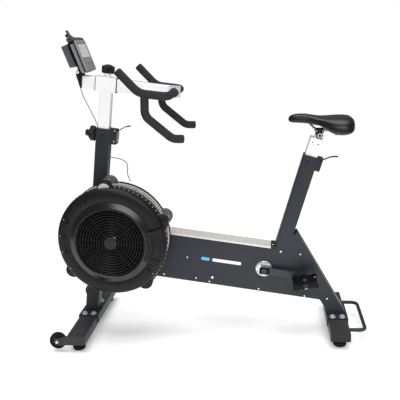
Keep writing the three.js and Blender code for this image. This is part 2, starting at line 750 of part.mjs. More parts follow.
// The neck caps the tube's front end and reaches up to the console's pin on two cheeks.
function consoleNeck() {
  const face = TOP_TUBE.start - GAP;
  const low = TOP_TUBE.centre - TOP_TUBE.height / 2;
  const high = TOP_TUBE.centre + TOP_TUBE.height / 2;
  const [pinU, pinW] = inMast(CONSOLE_PIN.x, CONSOLE_PIN.z);
  const outline = polygon([
    [face, low], [face, high], [pinU + 7, pinW + 4], [pinU - 8, pinW], [pinU - 7, high - 3], [face - 5, low],
  ]);
  const cheeks = [[-24, -20], [20, 24]].flatMap(([y0, y1]) => [
    slabY(outline, y0, y1),
    cylinderY(CONSOLE_PIN.radius, y0, y1, pinU, pinW, 16),
  ]);
  return join(box(face - 4, face, -22, 22, low, high), ...cheeks);
}

add(mast, 'console_neck', consoleNeck(), blackPlastic);

const shellHalf = CONSOLE.height / 2;
const LCD = { halfWidth: 50, low: -8, high: 46, depth: 3 };
const BUTTON = { radius: 5.5, z: -30, pitch: 27, proud: 2, length: 8 };

// The shell has a shallow window for the display and a round well for each button.
function consoleShellSolid() {
  const { depth, height, width } = CONSOLE;
  const outer = extrude(roundedRect(height, width, 10), depth).rotateY(Math.PI / 2).translate(-depth, 0, 0);
  const window = box(-LCD.depth, 1, -LCD.halfWidth, LCD.halfWidth, LCD.low, LCD.high);
  const wells = buttonCentres().map((y) => (
    new THREE.CylinderGeometry(BUTTON.radius + GAP, BUTTON.radius + GAP, 12, 12)
      .rotateZ(Math.PI / 2).translate(-5, y, BUTTON.z)
  ));
  const [pinX, pinZ] = inConsole(CONSOLE_PIN.x, CONSOLE_PIN.z);
  const barrel = cylinderY(CONSOLE_PIN.radius - 1, -18, 18, pinX, pinZ, 16);
  const web = box(pinX, -depth + 1, -16, 16, pinZ - 6, pinZ + 6);
  return join(cut(outer, window, ...wells), web, barrel);
}

function inConsole(x, z) {
  const dx = x - CONSOLE.x;
  const dz = z - CONSOLE.z;
  const { tilt } = CONSOLE;
  return [dx * Math.cos(tilt) + dz * Math.sin(tilt), -dx * Math.sin(tilt) + dz * Math.cos(tilt)];
}

function buttonCentres() {
  return [-1.5, -0.5, 0.5, 1.5].map((step) => step * BUTTON.pitch);
}

add(consoleGroup, 'console_shell', consoleShellSolid(), consoleShell);
add(consoleGroup, 'console_display', box(
  -LCD.depth + GAP, -0.6, -LCD.halfWidth + GAP, LCD.halfWidth - GAP, LCD.low + GAP, LCD.high - GAP,
), consoleGlass);
buttonCentres().forEach((y, i) => {
  const cap = new THREE.CylinderGeometry(BUTTON.radius, BUTTON.radius, BUTTON.length, 12)
    .rotateZ(Math.PI / 2).translate(BUTTON.proud - BUTTON.length / 2, y, BUTTON.z);
  add(consoleGroup, `console_button_${i + 1}`, cap, blackPlastic);
});

const BATTERY = { depth: 27, standOff: 8, halfWidth: 50, low: -27, high: 61, inset: 6 };

// The battery box stands off the shell's back on a smaller neck.
function batteryPack() {
  const { depth, standOff, halfWidth, low, high, inset } = BATTERY;
  const front = -CONSOLE.depth - standOff;
  return join(
    box(front - depth, front, -halfWidth, halfWidth, low, high),
    box(front - 1, -CONSOLE.depth - GAP, inset - halfWidth, halfWidth - inset, low + inset, high - inset),
  );
}

add(consoleGroup, 'battery_pack', batteryPack(), blackPlastic);

// A hood on the console's top edge, with a tapered back plate, holds a phone upright.
function phoneRest() {
  const low = shellHalf + GAP;
  const hood = slabY(polygon([
    [-CONSOLE.depth, low], [-CONSOLE.depth, low + 17], [-11, low + 15], [-1, low + 4], [-1, low],
  ]), -62, 62);
  const plate = polygon([
    [-53, 0], [53, 0], [29, 15], [12, 22], [12, 42], [-12, 42], [-12, 22], [-29, 15],
  ]);
  const lean = 10 * DEG;
  const back = extrude(plate, 5).rotateX(Math.PI / 2).rotateZ(Math.PI / 2).rotateY(-lean);
  return join(hood, back.translate(-CONSOLE.depth + 1, 0, low + 10));
}

add(consoleGroup, 'phone_rest', phoneRest(), blackPlastic);

// ---------------------------------------------------------------- fan housing

function atFan(geometry) {
  return geometry.translate(FAN.u, 0, FAN.w);
}

function lug(angle, y0, y1) {
  const r = FAN.radius - 4;
  return cylinderY(31, y0, y1, r * Math.cos(angle), r * Math.sin(angle), 16);
}

// Lugs stand out of a ring; nothing of them is left inside its bore.
function withLugs(ring, y0, y1, bore) {
  const solids = FAN_LUGS.map((angle) => lug(angle, y0, y1));
  const core = cylinderY(bore, y0 - 1, y1 + 1, 0, 0, 48);
  const rims = solids.map((solid) => cut(solid, core));
  return join(ring, ...rims);
}

const BANDS = { cover: -150, ring: -112, mesh: -60 };

function fanFrontCover() {
  const r = FAN.radius;
  const inner = DIAL.outer + 1;
  const skirt = r - FAN.skin;
  const ring = turned([
    [inner, FAN.front + 4], [inner, FAN.front], [r - 10, FAN.front], [r - 3, FAN.front + 3],
    [r, FAN.front + 10], [r, BANDS.cover - GAP], [skirt, BANDS.cover - GAP],
    [skirt, FAN.front + 11], [r - 12, FAN.front + 4],
  ], 48);
  return withLugs(ring, FAN.front + 12, BANDS.cover - GAP, skirt);
}

function fanMiddleRing() {
  const r = FAN.radius - 1;
  const ring = turned([[r - 4, BANDS.cover], [r, BANDS.cover], [r, BANDS.ring], [r - 4, BANDS.ring]], 48);
  return withLugs(ring, BANDS.cover, BANDS.cover + 24, r - 4);
}

function fanMeshBand() {
  const r = FAN.radius - 2;
  const low = BANDS.ring + GAP;
  const high = BANDS.mesh - GAP;
  return turned([[r - 2, low], [r, low], [r, high], [r - 2, high]], 48);
}

// The back cover is a dish with stand-offs against the post and the spine.
function fanBackCover() {
  const r = FAN.radius + 2;
  const ring = turned([
    [30, FAN.back - 3], [r - 8, FAN.back - 3], [r - 3, FAN.back - 6], [r - 3, BANDS.mesh],
    [r, BANDS.mesh], [r, FAN.back - 4], [r - 4, FAN.back], [30, FAN.back],
  ], 48);
  const dish = withLugs(ring, BANDS.mesh - 12, FAN.back - 2, r - 3);
  const ontoSpine = [[60, -60], [130, -120], [-20, -150]].map(([x, z]) => (
    cylinderY(12, FAN.back - 1, -plateOuter - GAP, x, z, 14)
  ));
  const ontoPost = [[-FAN.u, 100], [-FAN.u, -100]].map(([x, z]) => (
    cylinderY(12, FAN.back - 1, -POST.width / 2 - GAP, x, z, 14)
  ));
  return join(dish, ...ontoSpine, ...ontoPost);
}

add(mast, 'fan_front_cover', atFan(fanFrontCover()), shroud);
add(mast, 'fan_middle_ring', atFan(fanMiddleRing()), shroud);
add(mast, 'fan_mesh_band', atFan(fanMeshBand()), meshMetal);
add(mast, 'fan_back_cover', atFan(fanBackCover()), shroud);

// The guard: flat rings on radial bars, with a solid boss.
function guardGrille() {
  const front = FAN.front - DIAL.rise + 4;
  const back = front + 5;
  const outer = DIAL.inner - 1;
  const rings = [0, 1, 2, 3].map((step) => {
    const r = outer - step * 29;
    return turned([[r - 9, front], [r, front], [r, back], [r - 9, back]], 32);
  });
  const bars = [0, 1, 2, 3].map((step) => (
    box(-outer + 2, outer - 2, front + 1, back, -3, 3).rotateY(step * 45 * DEG)
  ));
  return join(cylinderY(27, front - 3, back, 0, 0, 24), ...bars, ...rings);
}

add(mast, 'fan_guard_grille', atFan(guardGrille()), shroud);

// The damper dial: a raised ring with a finger lever reaching the rim.
function damperDial() {
  const top = FAN.front - DIAL.rise;
  const seatY = FAN.front - 1;
  const ring = turned([
    [DIAL.inner, seatY], [DIAL.inner, top], [DIAL.inner + 3, top],
    [DIAL.outer, seatY - 3], [DIAL.outer, seatY],
  ], 48);
  const pad = new THREE.Shape();
  const [from, to] = [-20 * DEG, 25 * DEG];
  pad.absarc(0, 0, DIAL.padOuter, from, to);
  pad.absarc(0, 0, DIAL.inner + 1, to, from, true);
  const lever = slabY(pad, top, seatY, 6);
  const recess = box(172, 206, top - 1, top + 6, -44, 50);
  return join(ring, cut(lever, recess));
}

add(mast, 'damper_dial', atFan(damperDial()), shroud);

// ---------------------------------------------------------------- fan rotor

function fanRotor() {
  const disc = turned([[20, -68], [192, -68], [192, -64], [20, -64]], 48);
  const hub = turned([[9, -110], [26, -110], [26, -60], [9, -60]], 24);
  const blade = box(60, 190, -150, -66, -1.5, 1.5);
  const blades = Array.from({ length: 18 }, (_, i) => blade.clone().rotateY(i * 20 * DEG));
  return join(disc, hub, ...blades);
}

add(mast, 'fan_rotor', atFan(fanRotor()), steel);

function fanAxle() {
  const lane = PULLEY.lane;
  const shaft = cylinderY(8, -112, 24, 0, 0, 18);
  const pulley = cylinderY(PULLEY.fan, lane - PULLEY.width / 2, lane + PULLEY.width / 2, 0, 0, 24);
  return join(shaft, pulley);
}

add(mast, 'fan_axle', atFan(fanAxle()), steel);

// ---------------------------------------------------------------- drive

const lowLane = -PULLEY.lane;

function pulleyAt(radius, lane) {
  return cylinderY(radius, lane - PULLEY.width / 2, lane + PULLEY.width / 2, 0, 0, 36);
}

function middleShaft() {
  const shaft = cylinderY(7, -plateInner + GAP, plateInner - GAP, 0, 0, 14);
  return join(shaft, pulleyAt(PULLEY.middleSmall, lowLane), pulleyAt(PULLEY.middleBig, PULLEY.lane))
    .translate(MIDDLE.u, 0, MIDDLE.w);
}

add(mast, 'middle_pulley', middleShaft(), steel);

// An open belt round two pulleys: tangent lines joined by arcs on each pulley.
function beltLoop(a, b, lane) {
  const span = Math.hypot(b.u - a.u, b.w - a.w);
  const heading = Math.atan2(b.w - a.w, b.u - a.u);
  const wrap = Math.acos((a.r - b.r) / span);
  const outline = (extra) => {
    const shape = new THREE.Shape();
    shape.absarc(a.u, a.w, a.r + extra, heading + wrap, heading - wrap + 2 * Math.PI);
    shape.absarc(b.u, b.w, b.r + extra, heading - wrap, heading + wrap);
    return shape;
  };
  const half = PULLEY.width / 2 - 1;
  return cut(
    slabY(outline(GAP + BELT_THICKNESS), lane - half, lane + half, 14),
    slabY(outline(GAP), lane - half - 1, lane + half + 1, 14),
  );
}

const drivePulley = { u: crankU, w: crankW, r: PULLEY.drive };
const middleSmall = { u: MIDDLE.u, w: MIDDLE.w, r: PULLEY.middleSmall };
const middleBig = { u: MIDDLE.u, w: MIDDLE.w, r: PULLEY.middleBig };
const fanPulley = { u: FAN.u, w: FAN.w, r: PULLEY.fan };
add(mast, 'drive_belt', beltLoop(middleSmall, drivePulley, lowLane), rubber);
add(mast, 'fan_belt', beltLoop(fanPulley, middleBig, PULLEY.lane), rubber);

// ---------------------------------------------------------------- cranks and pedals

const spindleRadius = 8;

// A flanged cup pressed through a side plate; it holds the spindle's ball bearing.
function crankBearing(side) {
  const bore = spindleRadius + 1;
  const [deep, plate] = side < 0 ? [21.5, plateOuter] : [4, plateOuter];
  const face = plate + GAP;
  const profile = [
    [bore, deep], [22, deep], [22, face], [35, face], [35, face + 3], [31, face + 5], [bore, face + 5],
  ];
  return turned(profile.map(([r, y]) => [r, side * y]), 32).translate(crankU, 0, crankW);
}

add(mast, 'crank_bearing_left', crankBearing(-1), chrome);
add(mast, 'crank_bearing_right', crankBearing(1), chrome);

function crankSpindle() {
  const shaft = cylinderY(spindleRadius, -CRANK.armInner + GAP, CRANK.armInner - GAP, 0, 0, 20);
  const flange = cylinderY(14, lowLane + 6, lowLane + 8, 0, 0, 20);
  return join(shaft, flange).translate(crankU, 0, crankW);
}

add(mast, 'crank_spindle', crankSpindle(), steel);
add(mast, 'drive_pulley', cut(
  pulleyAt(PULLEY.drive, lowLane),
  cylinderY(spindleRadius + GAP, -40, 40, 0, 0, 20),
  ...[0, 72, 144, 216, 288].map((angle) => (
    cylinderY(17, -40, 40, 46 * Math.cos(angle * DEG), 46 * Math.sin(angle * DEG), 12)
  )),
).translate(crankU, 0, crankW), blackPlastic);

// The arm tapers from its spindle eye to the pedal axle, which is screwed into it.
function crankArm(side) {
  const { length, armInner, armThick } = CRANK;
  const [y0, y1] = [side * armInner, side * (armInner + armThick)].sort((a, b) => a - b);
  const shape = new THREE.Shape();
  shape.absarc(0, 0, 15, 85 * DEG, 275 * DEG);
  shape.absarc(length, 0, 13.5, -87 * DEG, 87 * DEG);
  const arm = slabY(shape, y0, y1, 8);
  const boss = side * (armInner + armThick + 6);
  const axleEnd = side * (armInner + armThick + PEDAL.gap + PEDAL.width - 8);
  const start = side * (armInner + armThick - 1);
  const [a0, a1] = [start, axleEnd].sort((a, b) => a - b);
  const [b0, b1] = [start, boss].sort((a, b) => a - b);
  return join(arm, cylinderY(6, a0, a1, length, 0, 14), cylinderY(11, b0, b1, 0, 0, 16));
}

// The left arm points back and a little down; the right one points the other way.
function crankAngle(side) {
  return side < 0 ? CRANK.drop - LEAN : CRANK.drop - LEAN + Math.PI;
}

// Pedal: two cage plates on a barrel, with a toe bridge at each end.
function pedal(side) {
  const start = side * (CRANK.armInner + CRANK.armThick + PEDAL.gap);
  const end = start + side * PEDAL.width;
  const [y0, y1] = [start, end].sort((a, b) => a - b);
  const half = PEDAL.length / 2;
  const thick = PEDAL.height / 2;
  const body = box(-half, half, y0, y1, -thick, thick);
  const pockets = [-1, 1].flatMap((sx) => [[y0 + 8, y0 + 42], [y1 - 42, y1 - 8]].map(([p0, p1]) => (
    box(Math.min(sx * 16, sx * 42), Math.max(sx * 16, sx * 42), p0, p1, -thick - 1, thick + 1)
  )));
  return cut(body, ...pockets, cylinderY(6 + GAP, y0 - 1, y1 + 1, 0, 0, 14));
}

for (const [side, label] of [[-1, 'left'], [1, 'right']]) {
  const angle = crankAngle(side);
  add(mast, `crank_arm_${label}`, crankArm(side).rotateY(angle).translate(crankU, 0, crankW), crankPaint);
  const pedalU = crankU + CRANK.length * Math.cos(angle);
  const pedalW = crankW - CRANK.length * Math.sin(angle);
  add(mast, `pedal_${label}`, pedal(side).rotateY(-LEAN - PEDAL.tilt).translate(pedalU, 0, pedalW), blackPlastic);
}

// ---------------------------------------------------------------- cables

function cable(points) {
  const path = new THREE.CatmullRomCurve3(points.map((p) => new THREE.Vector3(...p)));
  const section = new THREE.Shape().absarc(0, 0, CABLE_RADIUS, 0, 2 * Math.PI);
  const steps = Math.round(path.getLength() / (3 * 2 * CABLE_RADIUS));
  return new THREE.ExtrudeGeometry(section, { extrudePath: path, steps, curveSegments: 4 });
}

// The sensor cable leaves a socket on the left face of the post.
const SOCKET = { x: -425, z: 872, height: 8 };
const socketY = -POST.width / 2 - GAP;
add(airBike, 'cable_socket', cylinderY(
  7, socketY - SOCKET.height, socketY, SOCKET.x, SOCKET.z, 14, 5,
), blackPlastic);
add(airBike, 'sensor_cable', cable([
  [SOCKET.x, socketY - SOCKET.height - GAP, SOCKET.z], [SOCKET.x, -39, SOCKET.z - 1],
  [-423, -44, 860], [-422, -46, 842], [-423, -47, 816], [-409, -48, 791], [-391, -48, 780],
  [-369, -49, 776], [-343, -50, 769], [-324, -51, 757], [-319, -52, 742], [-321, -53, 710],
  [-316, -53, 690], [-311, -53, 677],
]), rubber);

// The console cable drops in front of the tube's end into the gap inside the front post.
const gapU = -(SLIDER.depth + POST.depth - 2 * POST.wall) / 4;
const intoPost = [
  [gapU - 16, POST.top + 40], [gapU - 8, POST.top + 22], [gapU - 2.2, POST.top + 8],
  [gapU, POST.top - 3], [gapU, POST.top - 30], [gapU, POST.top - 90], [gapU, POST.top - 180],
].map(([u, w]) => fromMast(u, w));
add(airBike, 'console_cable', cable([
  [-508, -6, 1094], [-505, -10, 1078], [-497.5, -16, 1056], [-490, -18, 1030], [-478, -18, 1000],
  ...intoPost.map(([x, z], i) => [x, Math.min(-18 + 3 * i, 0), z]),
]), rubber);

export default airBike;
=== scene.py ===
import json
import math

import bmesh
import bpy
from mathutils import Matrix, Vector


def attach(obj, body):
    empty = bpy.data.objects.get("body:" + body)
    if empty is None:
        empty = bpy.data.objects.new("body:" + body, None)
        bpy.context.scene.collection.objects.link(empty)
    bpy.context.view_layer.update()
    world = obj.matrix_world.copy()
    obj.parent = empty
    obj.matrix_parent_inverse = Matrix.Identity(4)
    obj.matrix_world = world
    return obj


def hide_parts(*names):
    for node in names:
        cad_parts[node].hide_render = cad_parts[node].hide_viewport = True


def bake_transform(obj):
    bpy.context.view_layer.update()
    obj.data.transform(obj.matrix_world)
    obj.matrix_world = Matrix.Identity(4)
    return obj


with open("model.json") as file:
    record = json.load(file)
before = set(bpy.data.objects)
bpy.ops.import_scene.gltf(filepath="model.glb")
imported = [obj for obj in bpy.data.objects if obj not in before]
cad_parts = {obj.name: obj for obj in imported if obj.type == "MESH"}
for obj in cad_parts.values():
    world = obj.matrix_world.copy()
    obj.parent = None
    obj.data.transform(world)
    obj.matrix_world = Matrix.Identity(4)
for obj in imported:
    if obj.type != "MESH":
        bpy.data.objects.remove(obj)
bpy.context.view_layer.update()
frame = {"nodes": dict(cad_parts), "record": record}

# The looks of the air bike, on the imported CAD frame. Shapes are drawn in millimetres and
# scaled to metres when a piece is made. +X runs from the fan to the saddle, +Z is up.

MM = 0.001
LEAN = math.radians(8.5)
SEAT_LEAN = math.radians(17)
CONSOLE_LEAN = math.radians(18.5)
SIDES = ((-1, "left"), (1, "right"))

FOOT_X, BRIDGE_TOP = 539.5, 77.8
FRONT_FOOT_END, REAR_FOOT_END = 266, 197
WHEEL_X, WHEEL_Z = -620, 48
SPINE_SIDE = 28
CRANK_X, CRANK_Z, CRANK_LENGTH = 233, 282, 170
CRANK_DROP, PEDAL_TILT = math.radians(8.3), math.radians(9)
BAR_U, BAR_LEVEL = 279, 1005
TILT_X, TILT_Z = 459, 846
SOCKET_X, SOCKET_Z = -425, 872
CORD_DIAMETER = 3


def place(x, y, z, about_y=0.0):
    """A placement in millimetres, turned about Y so that +X dips by the angle."""
    return Matrix.Translation((x, y, z)) @ Matrix.Rotation(about_y, 4, "Y")


# Mast: u runs along the top tube, w up the front post. Fan: square to the floor.
WORLD = Matrix.Identity(4)
MAST = place(-FOOT_X, 0, BRIDGE_TOP, LEAN)
SEAT = place(427.6, 0, 763, SEAT_LEAN)
CONSOLE = place(-468.4, 0, 1188.6, -CONSOLE_LEAN)
LEANING_FAN = MAST @ place(102, 0, 394)
FAN = place(LEANING_FAN.translation.x, 0, LEANING_FAN.translation.z)


# ---------------------------------------------------------------- camera and light


def make_camera():
    tilt, turn, roll = math.radians(15.51), math.radians(7.012), math.radians(-2.425)
    forward = Vector((
        -math.sin(turn) * math.cos(tilt), math.cos(turn) * math.cos(tilt), -math.sin(tilt),
    ))
    right = Vector((math.cos(turn), math.sin(turn), 0))
    up = right.cross(forward)
    rolled_right = right * math.cos(roll) + up * math.sin(roll)
    rolled_up = up * math.cos(roll) - right * math.sin(roll)
    data = bpy.data.cameras.new("camera")
    data.lens = 52.4
    data.sensor_width = 36
    camera = bpy.data.objects.new("camera", data)
    bpy.context.scene.collection.objects.link(camera)
    camera.matrix_world = Matrix((
        (rolled_right.x, rolled_up.x, -forward.x, 0.2574),
        (rolled_right.y, rolled_up.y, -forward.y, -2.3473),
        (rolled_right.z, rolled_up.z, -forward.z, 1.2352),
        (0, 0, 0, 1),
    ))
    bpy.context.scene.camera = camera


def area_light(name, location, target, size, energy):
    data = bpy.data.lights.new(name, "AREA")
    data.shape = "RECTANGLE"
    data.size, data.size_y = size
    data.energy = energy
    light = bpy.data.objects.new(name, data)
    bpy.context.scene.collection.objects.link(light)
    light.location = location
    light.rotation_euler = (Vector(target) - Vector(location)).to_track_quat("-Z", "Y").to_euler()


def make_world():
    """White where the camera sees it, dimmer where it lights the machine."""
    world = bpy.data.worlds.new("studio")
    world.use_nodes = True
    tree = world.node_tree
    shown = tree.nodes["Background"]
    shown.inputs["Color"].default_value = (1, 1, 1, 1)
    lit = tree.nodes.new("ShaderNodeBackground")
    lit.inputs["Color"].default_value = (1, 1, 1, 1)
    lit.inputs["Strength"].default_value = 0.24
    ray = tree.nodes.new("ShaderNodeLightPath")
    mix = tree.nodes.new("ShaderNodeMixShader")
    tree.links.new(ray.outputs["Is Camera Ray"], mix.inputs["Fac"])
    tree.links.new(lit.outputs["Background"], mix.inputs[1])
    tree.links.new(shown.outputs["Background"], mix.inputs[2])
    tree.links.new(mix.outputs["Shader"], tree.nodes["World Output"].inputs["Surface"])
    bpy.context.scene.world = world


def make_floor():
    radius, below = 2.4, 0.0006
    rim = [(x, y, -below) for x, y in circle(radius, 96)]
    mesh = bpy.data.meshes.new("floor")
    mesh.from_pydata(rim, [], [tuple(range(len(rim)))])
    floor = bpy.data.objects.new("floor", mesh)
    bpy.context.scene.collection.objects.link(floor)
    floor.data.materials.append(surface("floor_paper", (250, 250, 250), rough=0.9, glow=0.22))


def make_studio():
    scene = bpy.context.scene
    scene.view_settings.view_transform = "Standard"
    make_world()
    overhead = bpy.data.lights.new("overhead", "SUN")
    overhead.energy = 2.3
    overhead.angle = math.radians(50)
    scene.collection.objects.link(bpy.data.objects.new("overhead", overhead))
    area_light("softbox", (0.6, -2.6, 2.35), (0, 0, 0.5), (2.6, 1.4), 50)
    area_light("low_front", (0.5, -0.85, 0.03), (0.25, 0, 0.5), (1.1, 0.2), 2.4)
    make_floor()


# ---------------------------------------------------------------- materials


def linear(rgb):
    return tuple(((c / 255 + 0.055) / 1.055) ** 2.4 if c > 10 else c / 255 / 12.92 for c in rgb) + (1,)


def surface(name, rgb, rough=0.5, metal=0.0, coat=0.0, grain=None, mottle=0.0, glow=0.0, specular=0.5):
    """A Principled material; grain is (scale per metre, bump height in mm)."""
    material = bpy.data.materials.new(name)
    material.use_nodes = True
    tree = material.node_tree
    shader = tree.nodes["Principled BSDF"]
    shader.inputs["Base Color"].default_value = linear(rgb)
    shader.inputs["Roughness"].default_value = rough
    shader.inputs["Metallic"].default_value = metal
    shader.inputs["Specular IOR Level"].default_value = specular
    shader.inputs["Coat Weight"].default_value = coat
    shader.inputs["Coat Roughness"].default_value = 0.12
    if glow:
        shader.inputs["Emission Color"].default_value = (1, 1, 1, 1)
        shader.inputs["Emission Strength"].default_value = glow
    if grain:
        coordinates = tree.nodes.new("ShaderNodeTexCoord")
        noise = tree.nodes.new("ShaderNodeTexNoise")
        noise.inputs["Scale"].default_value = grain[0]
        noise.inputs["Detail"].default_value = 4
        tree.links.new(coordinates.outputs["Object"], noise.inputs["Vector"])
        bump = tree.nodes.new("ShaderNodeBump")
        bump.inputs["Strength"].default_value = 0.6
        bump.inputs["Distance"].default_value = grain[1] * MM
        tree.links.new(noise.outputs["Fac"], bump.inputs["Height"])
        tree.links.new(bump.outputs["Normal"], shader.inputs["Normal"])
    if grain and mottle:
        ramp = tree.nodes.new("ShaderNodeMix")
        ramp.data_type = "RGBA"
        ramp.inputs["A"].default_value = linear([c * (1 - mottle) for c in rgb])
        ramp.inputs["B"].default_value = linear([min(255, c * (1 + mottle)) for c in rgb])
        tree.links.new(noise.outputs["Fac"], ramp.inputs["Factor"])
        tree.links.new(ramp.outputs["Result"], shader.inputs["Base Color"])
    return material


# The looks of the CAD frame's own material slots.
LOOKS = {
    "frame_paint": dict(rgb=(44, 47, 54), rough=0.45, grain=(1400, 0.08), mottle=0.05, specular=0.25),
    "post_paint": dict(rgb=(255, 255, 255), rough=0.25, coat=0.4),
    "fan_plastic": dict(rgb=(19, 18, 21), rough=0.4, grain=(1800, 0.05), specular=0.25),
    "guard_wire": dict(rgb=(12, 12, 14), rough=0.38, specular=0.25),
    "mesh_metal": dict(rgb=(222, 217, 209), rough=0.5, metal=0.1),
    "cover_metal": dict(rgb=(214, 211, 205), rough=0.42, metal=0.25, grain=(900, 0.03)),
    "rotor_metal": dict(rgb=(38, 38, 40), rough=0.45, metal=0.4),
    "chrome": dict(rgb=(232, 234, 238), rough=0.14, metal=1.0),
    "steel": dict(rgb=(190, 191, 194), rough=0.28, metal=1.0),
    "crank_paint": dict(rgb=(46, 47, 51), rough=0.42, grain=(1400, 0.05), specular=0.35),
    "black_plastic": dict(rgb=(16, 16, 18), rough=0.42, grain=(1600, 0.05), specular=0.35),
    "pad_rubber": dict(rgb=(12, 12, 12), rough=0.8, grain=(900, 0.2), specular=0.25),
    "cable_rubber": dict(rgb=(22, 22, 22), rough=0.5),
    "belt_rubber": dict(rgb=(20, 20, 20), rough=0.7),
    "grip_foam": dict(rgb=(46, 46, 51), rough=0.85, grain=(1100, 0.35), mottle=0.12, specular=0.2),
    "saddle_cover": dict(rgb=(12, 13, 18), rough=0.38, grain=(700, 0.2), specular=0.45),
    "console_grey": dict(rgb=(146, 147, 150), rough=0.42, grain=(1500, 0.04)),
    "console_dark": dict(rgb=(62, 63, 68), rough=0.5, grain=(1500, 0.05), specular=0.35),
    "display_glass": dict(rgb=(236, 236, 233), rough=0.2, coat=0.3),
}
# Looks of single pieces.
PIECE_LOOKS = {
    "stripe_blue": dict(rgb=(90, 178, 222), rough=0.35),
    "stripe_white": dict(rgb=(236, 238, 240), rough=0.4),
    "mark_white": dict(rgb=(205, 205, 205), rough=0.5),
    "deep_black": dict(rgb=(6, 6, 7), rough=0.7, specular=0.1),
    "console_side": dict(rgb=(128, 128, 134), rough=0.45),
    "rivet_light": dict(rgb=(215, 215, 220), rough=0.25, metal=0.8),
    "reflector": dict(rgb=(128, 130, 132), rough=0.2, coat=0.4),
    "dial_gloss": dict(rgb=(8, 8, 9), rough=0.26, specular=0.6),
    "lcd_mark": dict(rgb=(176, 178, 170), rough=0.5),
    "battery_grey": dict(rgb=(96, 97, 104), rough=0.5, specular=0.2),
    "console_rest": dict(rgb=(78, 77, 76), rough=0.45, specular=0.35),
    "hub_grey": dict(rgb=(32, 31, 35), rough=0.5, specular=0.3),
    "lug_grey": dict(rgb=(96, 96, 96), rough=0.45, specular=0.3),
    # Painted highlight: the top lug's inset is light grey for the reflection seen on that lug alone.
    "lug_painted_highlight": dict(rgb=(190, 190, 194), rough=0.4, specular=0.3),
    "perforation": dict(rgb=(96, 95, 93), rough=0.6),
    "bolt_zinc": dict(rgb=(206, 204, 206), rough=0.3, metal=0.45),
    "cup_chrome": dict(rgb=(214, 215, 220), rough=0.26, metal=0.6),
    "foot_paint": dict(rgb=(51, 51, 53), rough=0.45, grain=(1400, 0.08), mottle=0.05, specular=0.25),
    "pedal_resin": dict(rgb=(11, 11, 12), rough=0.6, grain=(1600, 0.05), specular=0.15),
}
MATERIALS = {name: surface(name, **look) for name, look in {**LOOKS, **PIECE_LOOKS}.items()}


# ---------------------------------------------------------------- shapes, each (points, faces)


def polar(radius, degrees):
    return radius * math.cos(math.radians(degrees)), radius * math.sin(math.radians(degrees))


def circle(radius, sides):
    return [polar(radius, 360 * k / sides) for k in range(sides)]


def turn_y(degrees):
    return Matrix.Rotation(math.radians(degrees), 4, "Y")


def span(side, near, far):
    """Two distances from the middle plane as a low and a high Y."""
    return sorted((side * near, side * far))


def box(x0, x1, y0, y1, z0, z1):
    points = [(x, y, z) for x in (x0, x1) for y in (y0, y1) for z in (z0, z1)]
    return points, [(0, 1, 3, 2), (4, 6, 7, 5), (0, 4, 5, 1), (2, 3, 7, 6), (0, 2, 6, 4), (1, 5, 7, 3)]


def loft(rings, closed=False):
    """A skin over rings with the same number of points; closed joins the last ring to the first."""
    count = len(rings[0])
    points = [p for ring in rings for p in ring]
    faces = []
    for i in range(len(rings) if closed else len(rings) - 1):
        near, far = i * count, ((i + 1) % len(rings)) * count
        for k in range(count):
            after = (k + 1) % count
            faces.append((near + k, near + after, far + after, far + k))
    if not closed:
        faces.append(tuple(range(count))[::-1])
        faces.append(tuple(range((len(rings) - 1) * count, len(rings) * count)))
    return points, faces


def turned(profile, sides=96, centre=(0, 0)):
    """A closed profile of (radius, y) turned about a line along Y."""
    x, z = centre
    return loft([[(x + r * c, y, z + r * s) for r, y in profile] for c, s in circle(1, sides)], closed=True)


def hoop(inner, outer, y0, y1, sides=96, centre=(0, 0)):
    """A square-cornered ring about a line along Y."""
    return turned([(inner, y0), (outer, y0), (outer, y1), (inner, y1)], sides, centre)


def disc_y(radius, y0, y1, x=0.0, z=0.0, sides=32, edge=0.0):
    """A solid disc along Y, with its y1 rim rounded by edge."""
    step = 1 if y1 > y0 else -1
    rings = [(radius, y0)]
    if edge:
        for k in range(4):
            c, s = polar(edge, 30 * k)
            rings.append((radius - edge + c, y1 - step * (edge - s)))
    else:
        rings.append((radius, y1))
    return loft([[(x + dx, y, z + dz) for dx, dz in circle(r, sides)] for r, y in rings])


def level_ring(radius, z, sides=28, x=0.0, y=0.0):
    """A level circle of points."""
    return [(x + dx, y + dy, z) for dx, dy in circle(radius, sides)]


def ball(x, y, z, radius):
    rings = []
    for degrees in (45, 90, 135):
        up, out = polar(radius, degrees)
        rings.append([(x + dx, y + up, z + dz) for dx, dz in circle(out, 8)])
    return loft(rings)


def slab(outline, y0, y1):
    """An outline of (x, z) points given thickness along Y."""
    return loft([[(x, y0, z) for x, z in outline], [(x, y1, z) for x, z in outline]])


def rounded_box(x0, x1, z0, z1, radius):
    """The outline of a rectangle with round corners, seven points to a corner."""
    centres = (
        (x1 - radius, z1 - radius), (x0 + radius, z1 - radius), (x0 + radius, z0 + radius),
        (x1 - radius, z0 + radius),
    )
    points = []
    for quarter, (cx, cz) in enumerate(centres):
        for k in range(7):
            dx, dz = polar(radius, 90 * quarter + 15 * k)
            points.append((cx + dx, cz + dz))
    return points


def moved(shape, matrix):
    points, faces = shape
    return [tuple(matrix @ Vector(p)) for p in points], faces


def spline_route(points, steps=6):
    """A Catmull-Rom curve through the points."""
    points = [Vector(p) for p in points]
    padded = [points[0] * 2 - points[1]] + points + [points[-1] * 2 - points[-2]]
    route = []
    for a, b, c, d in zip(padded, padded[1:], padded[2:], padded[3:]):
        for k in range(steps):
            t = k / steps
            route.append(0.5 * (
                2 * b + (c - a) * t + (2 * a - 5 * b + 4 * c - d) * t ** 2
                + (3 * b - a - 3 * c + d) * t ** 3
            ))
    route.append(points[-1])
    return route


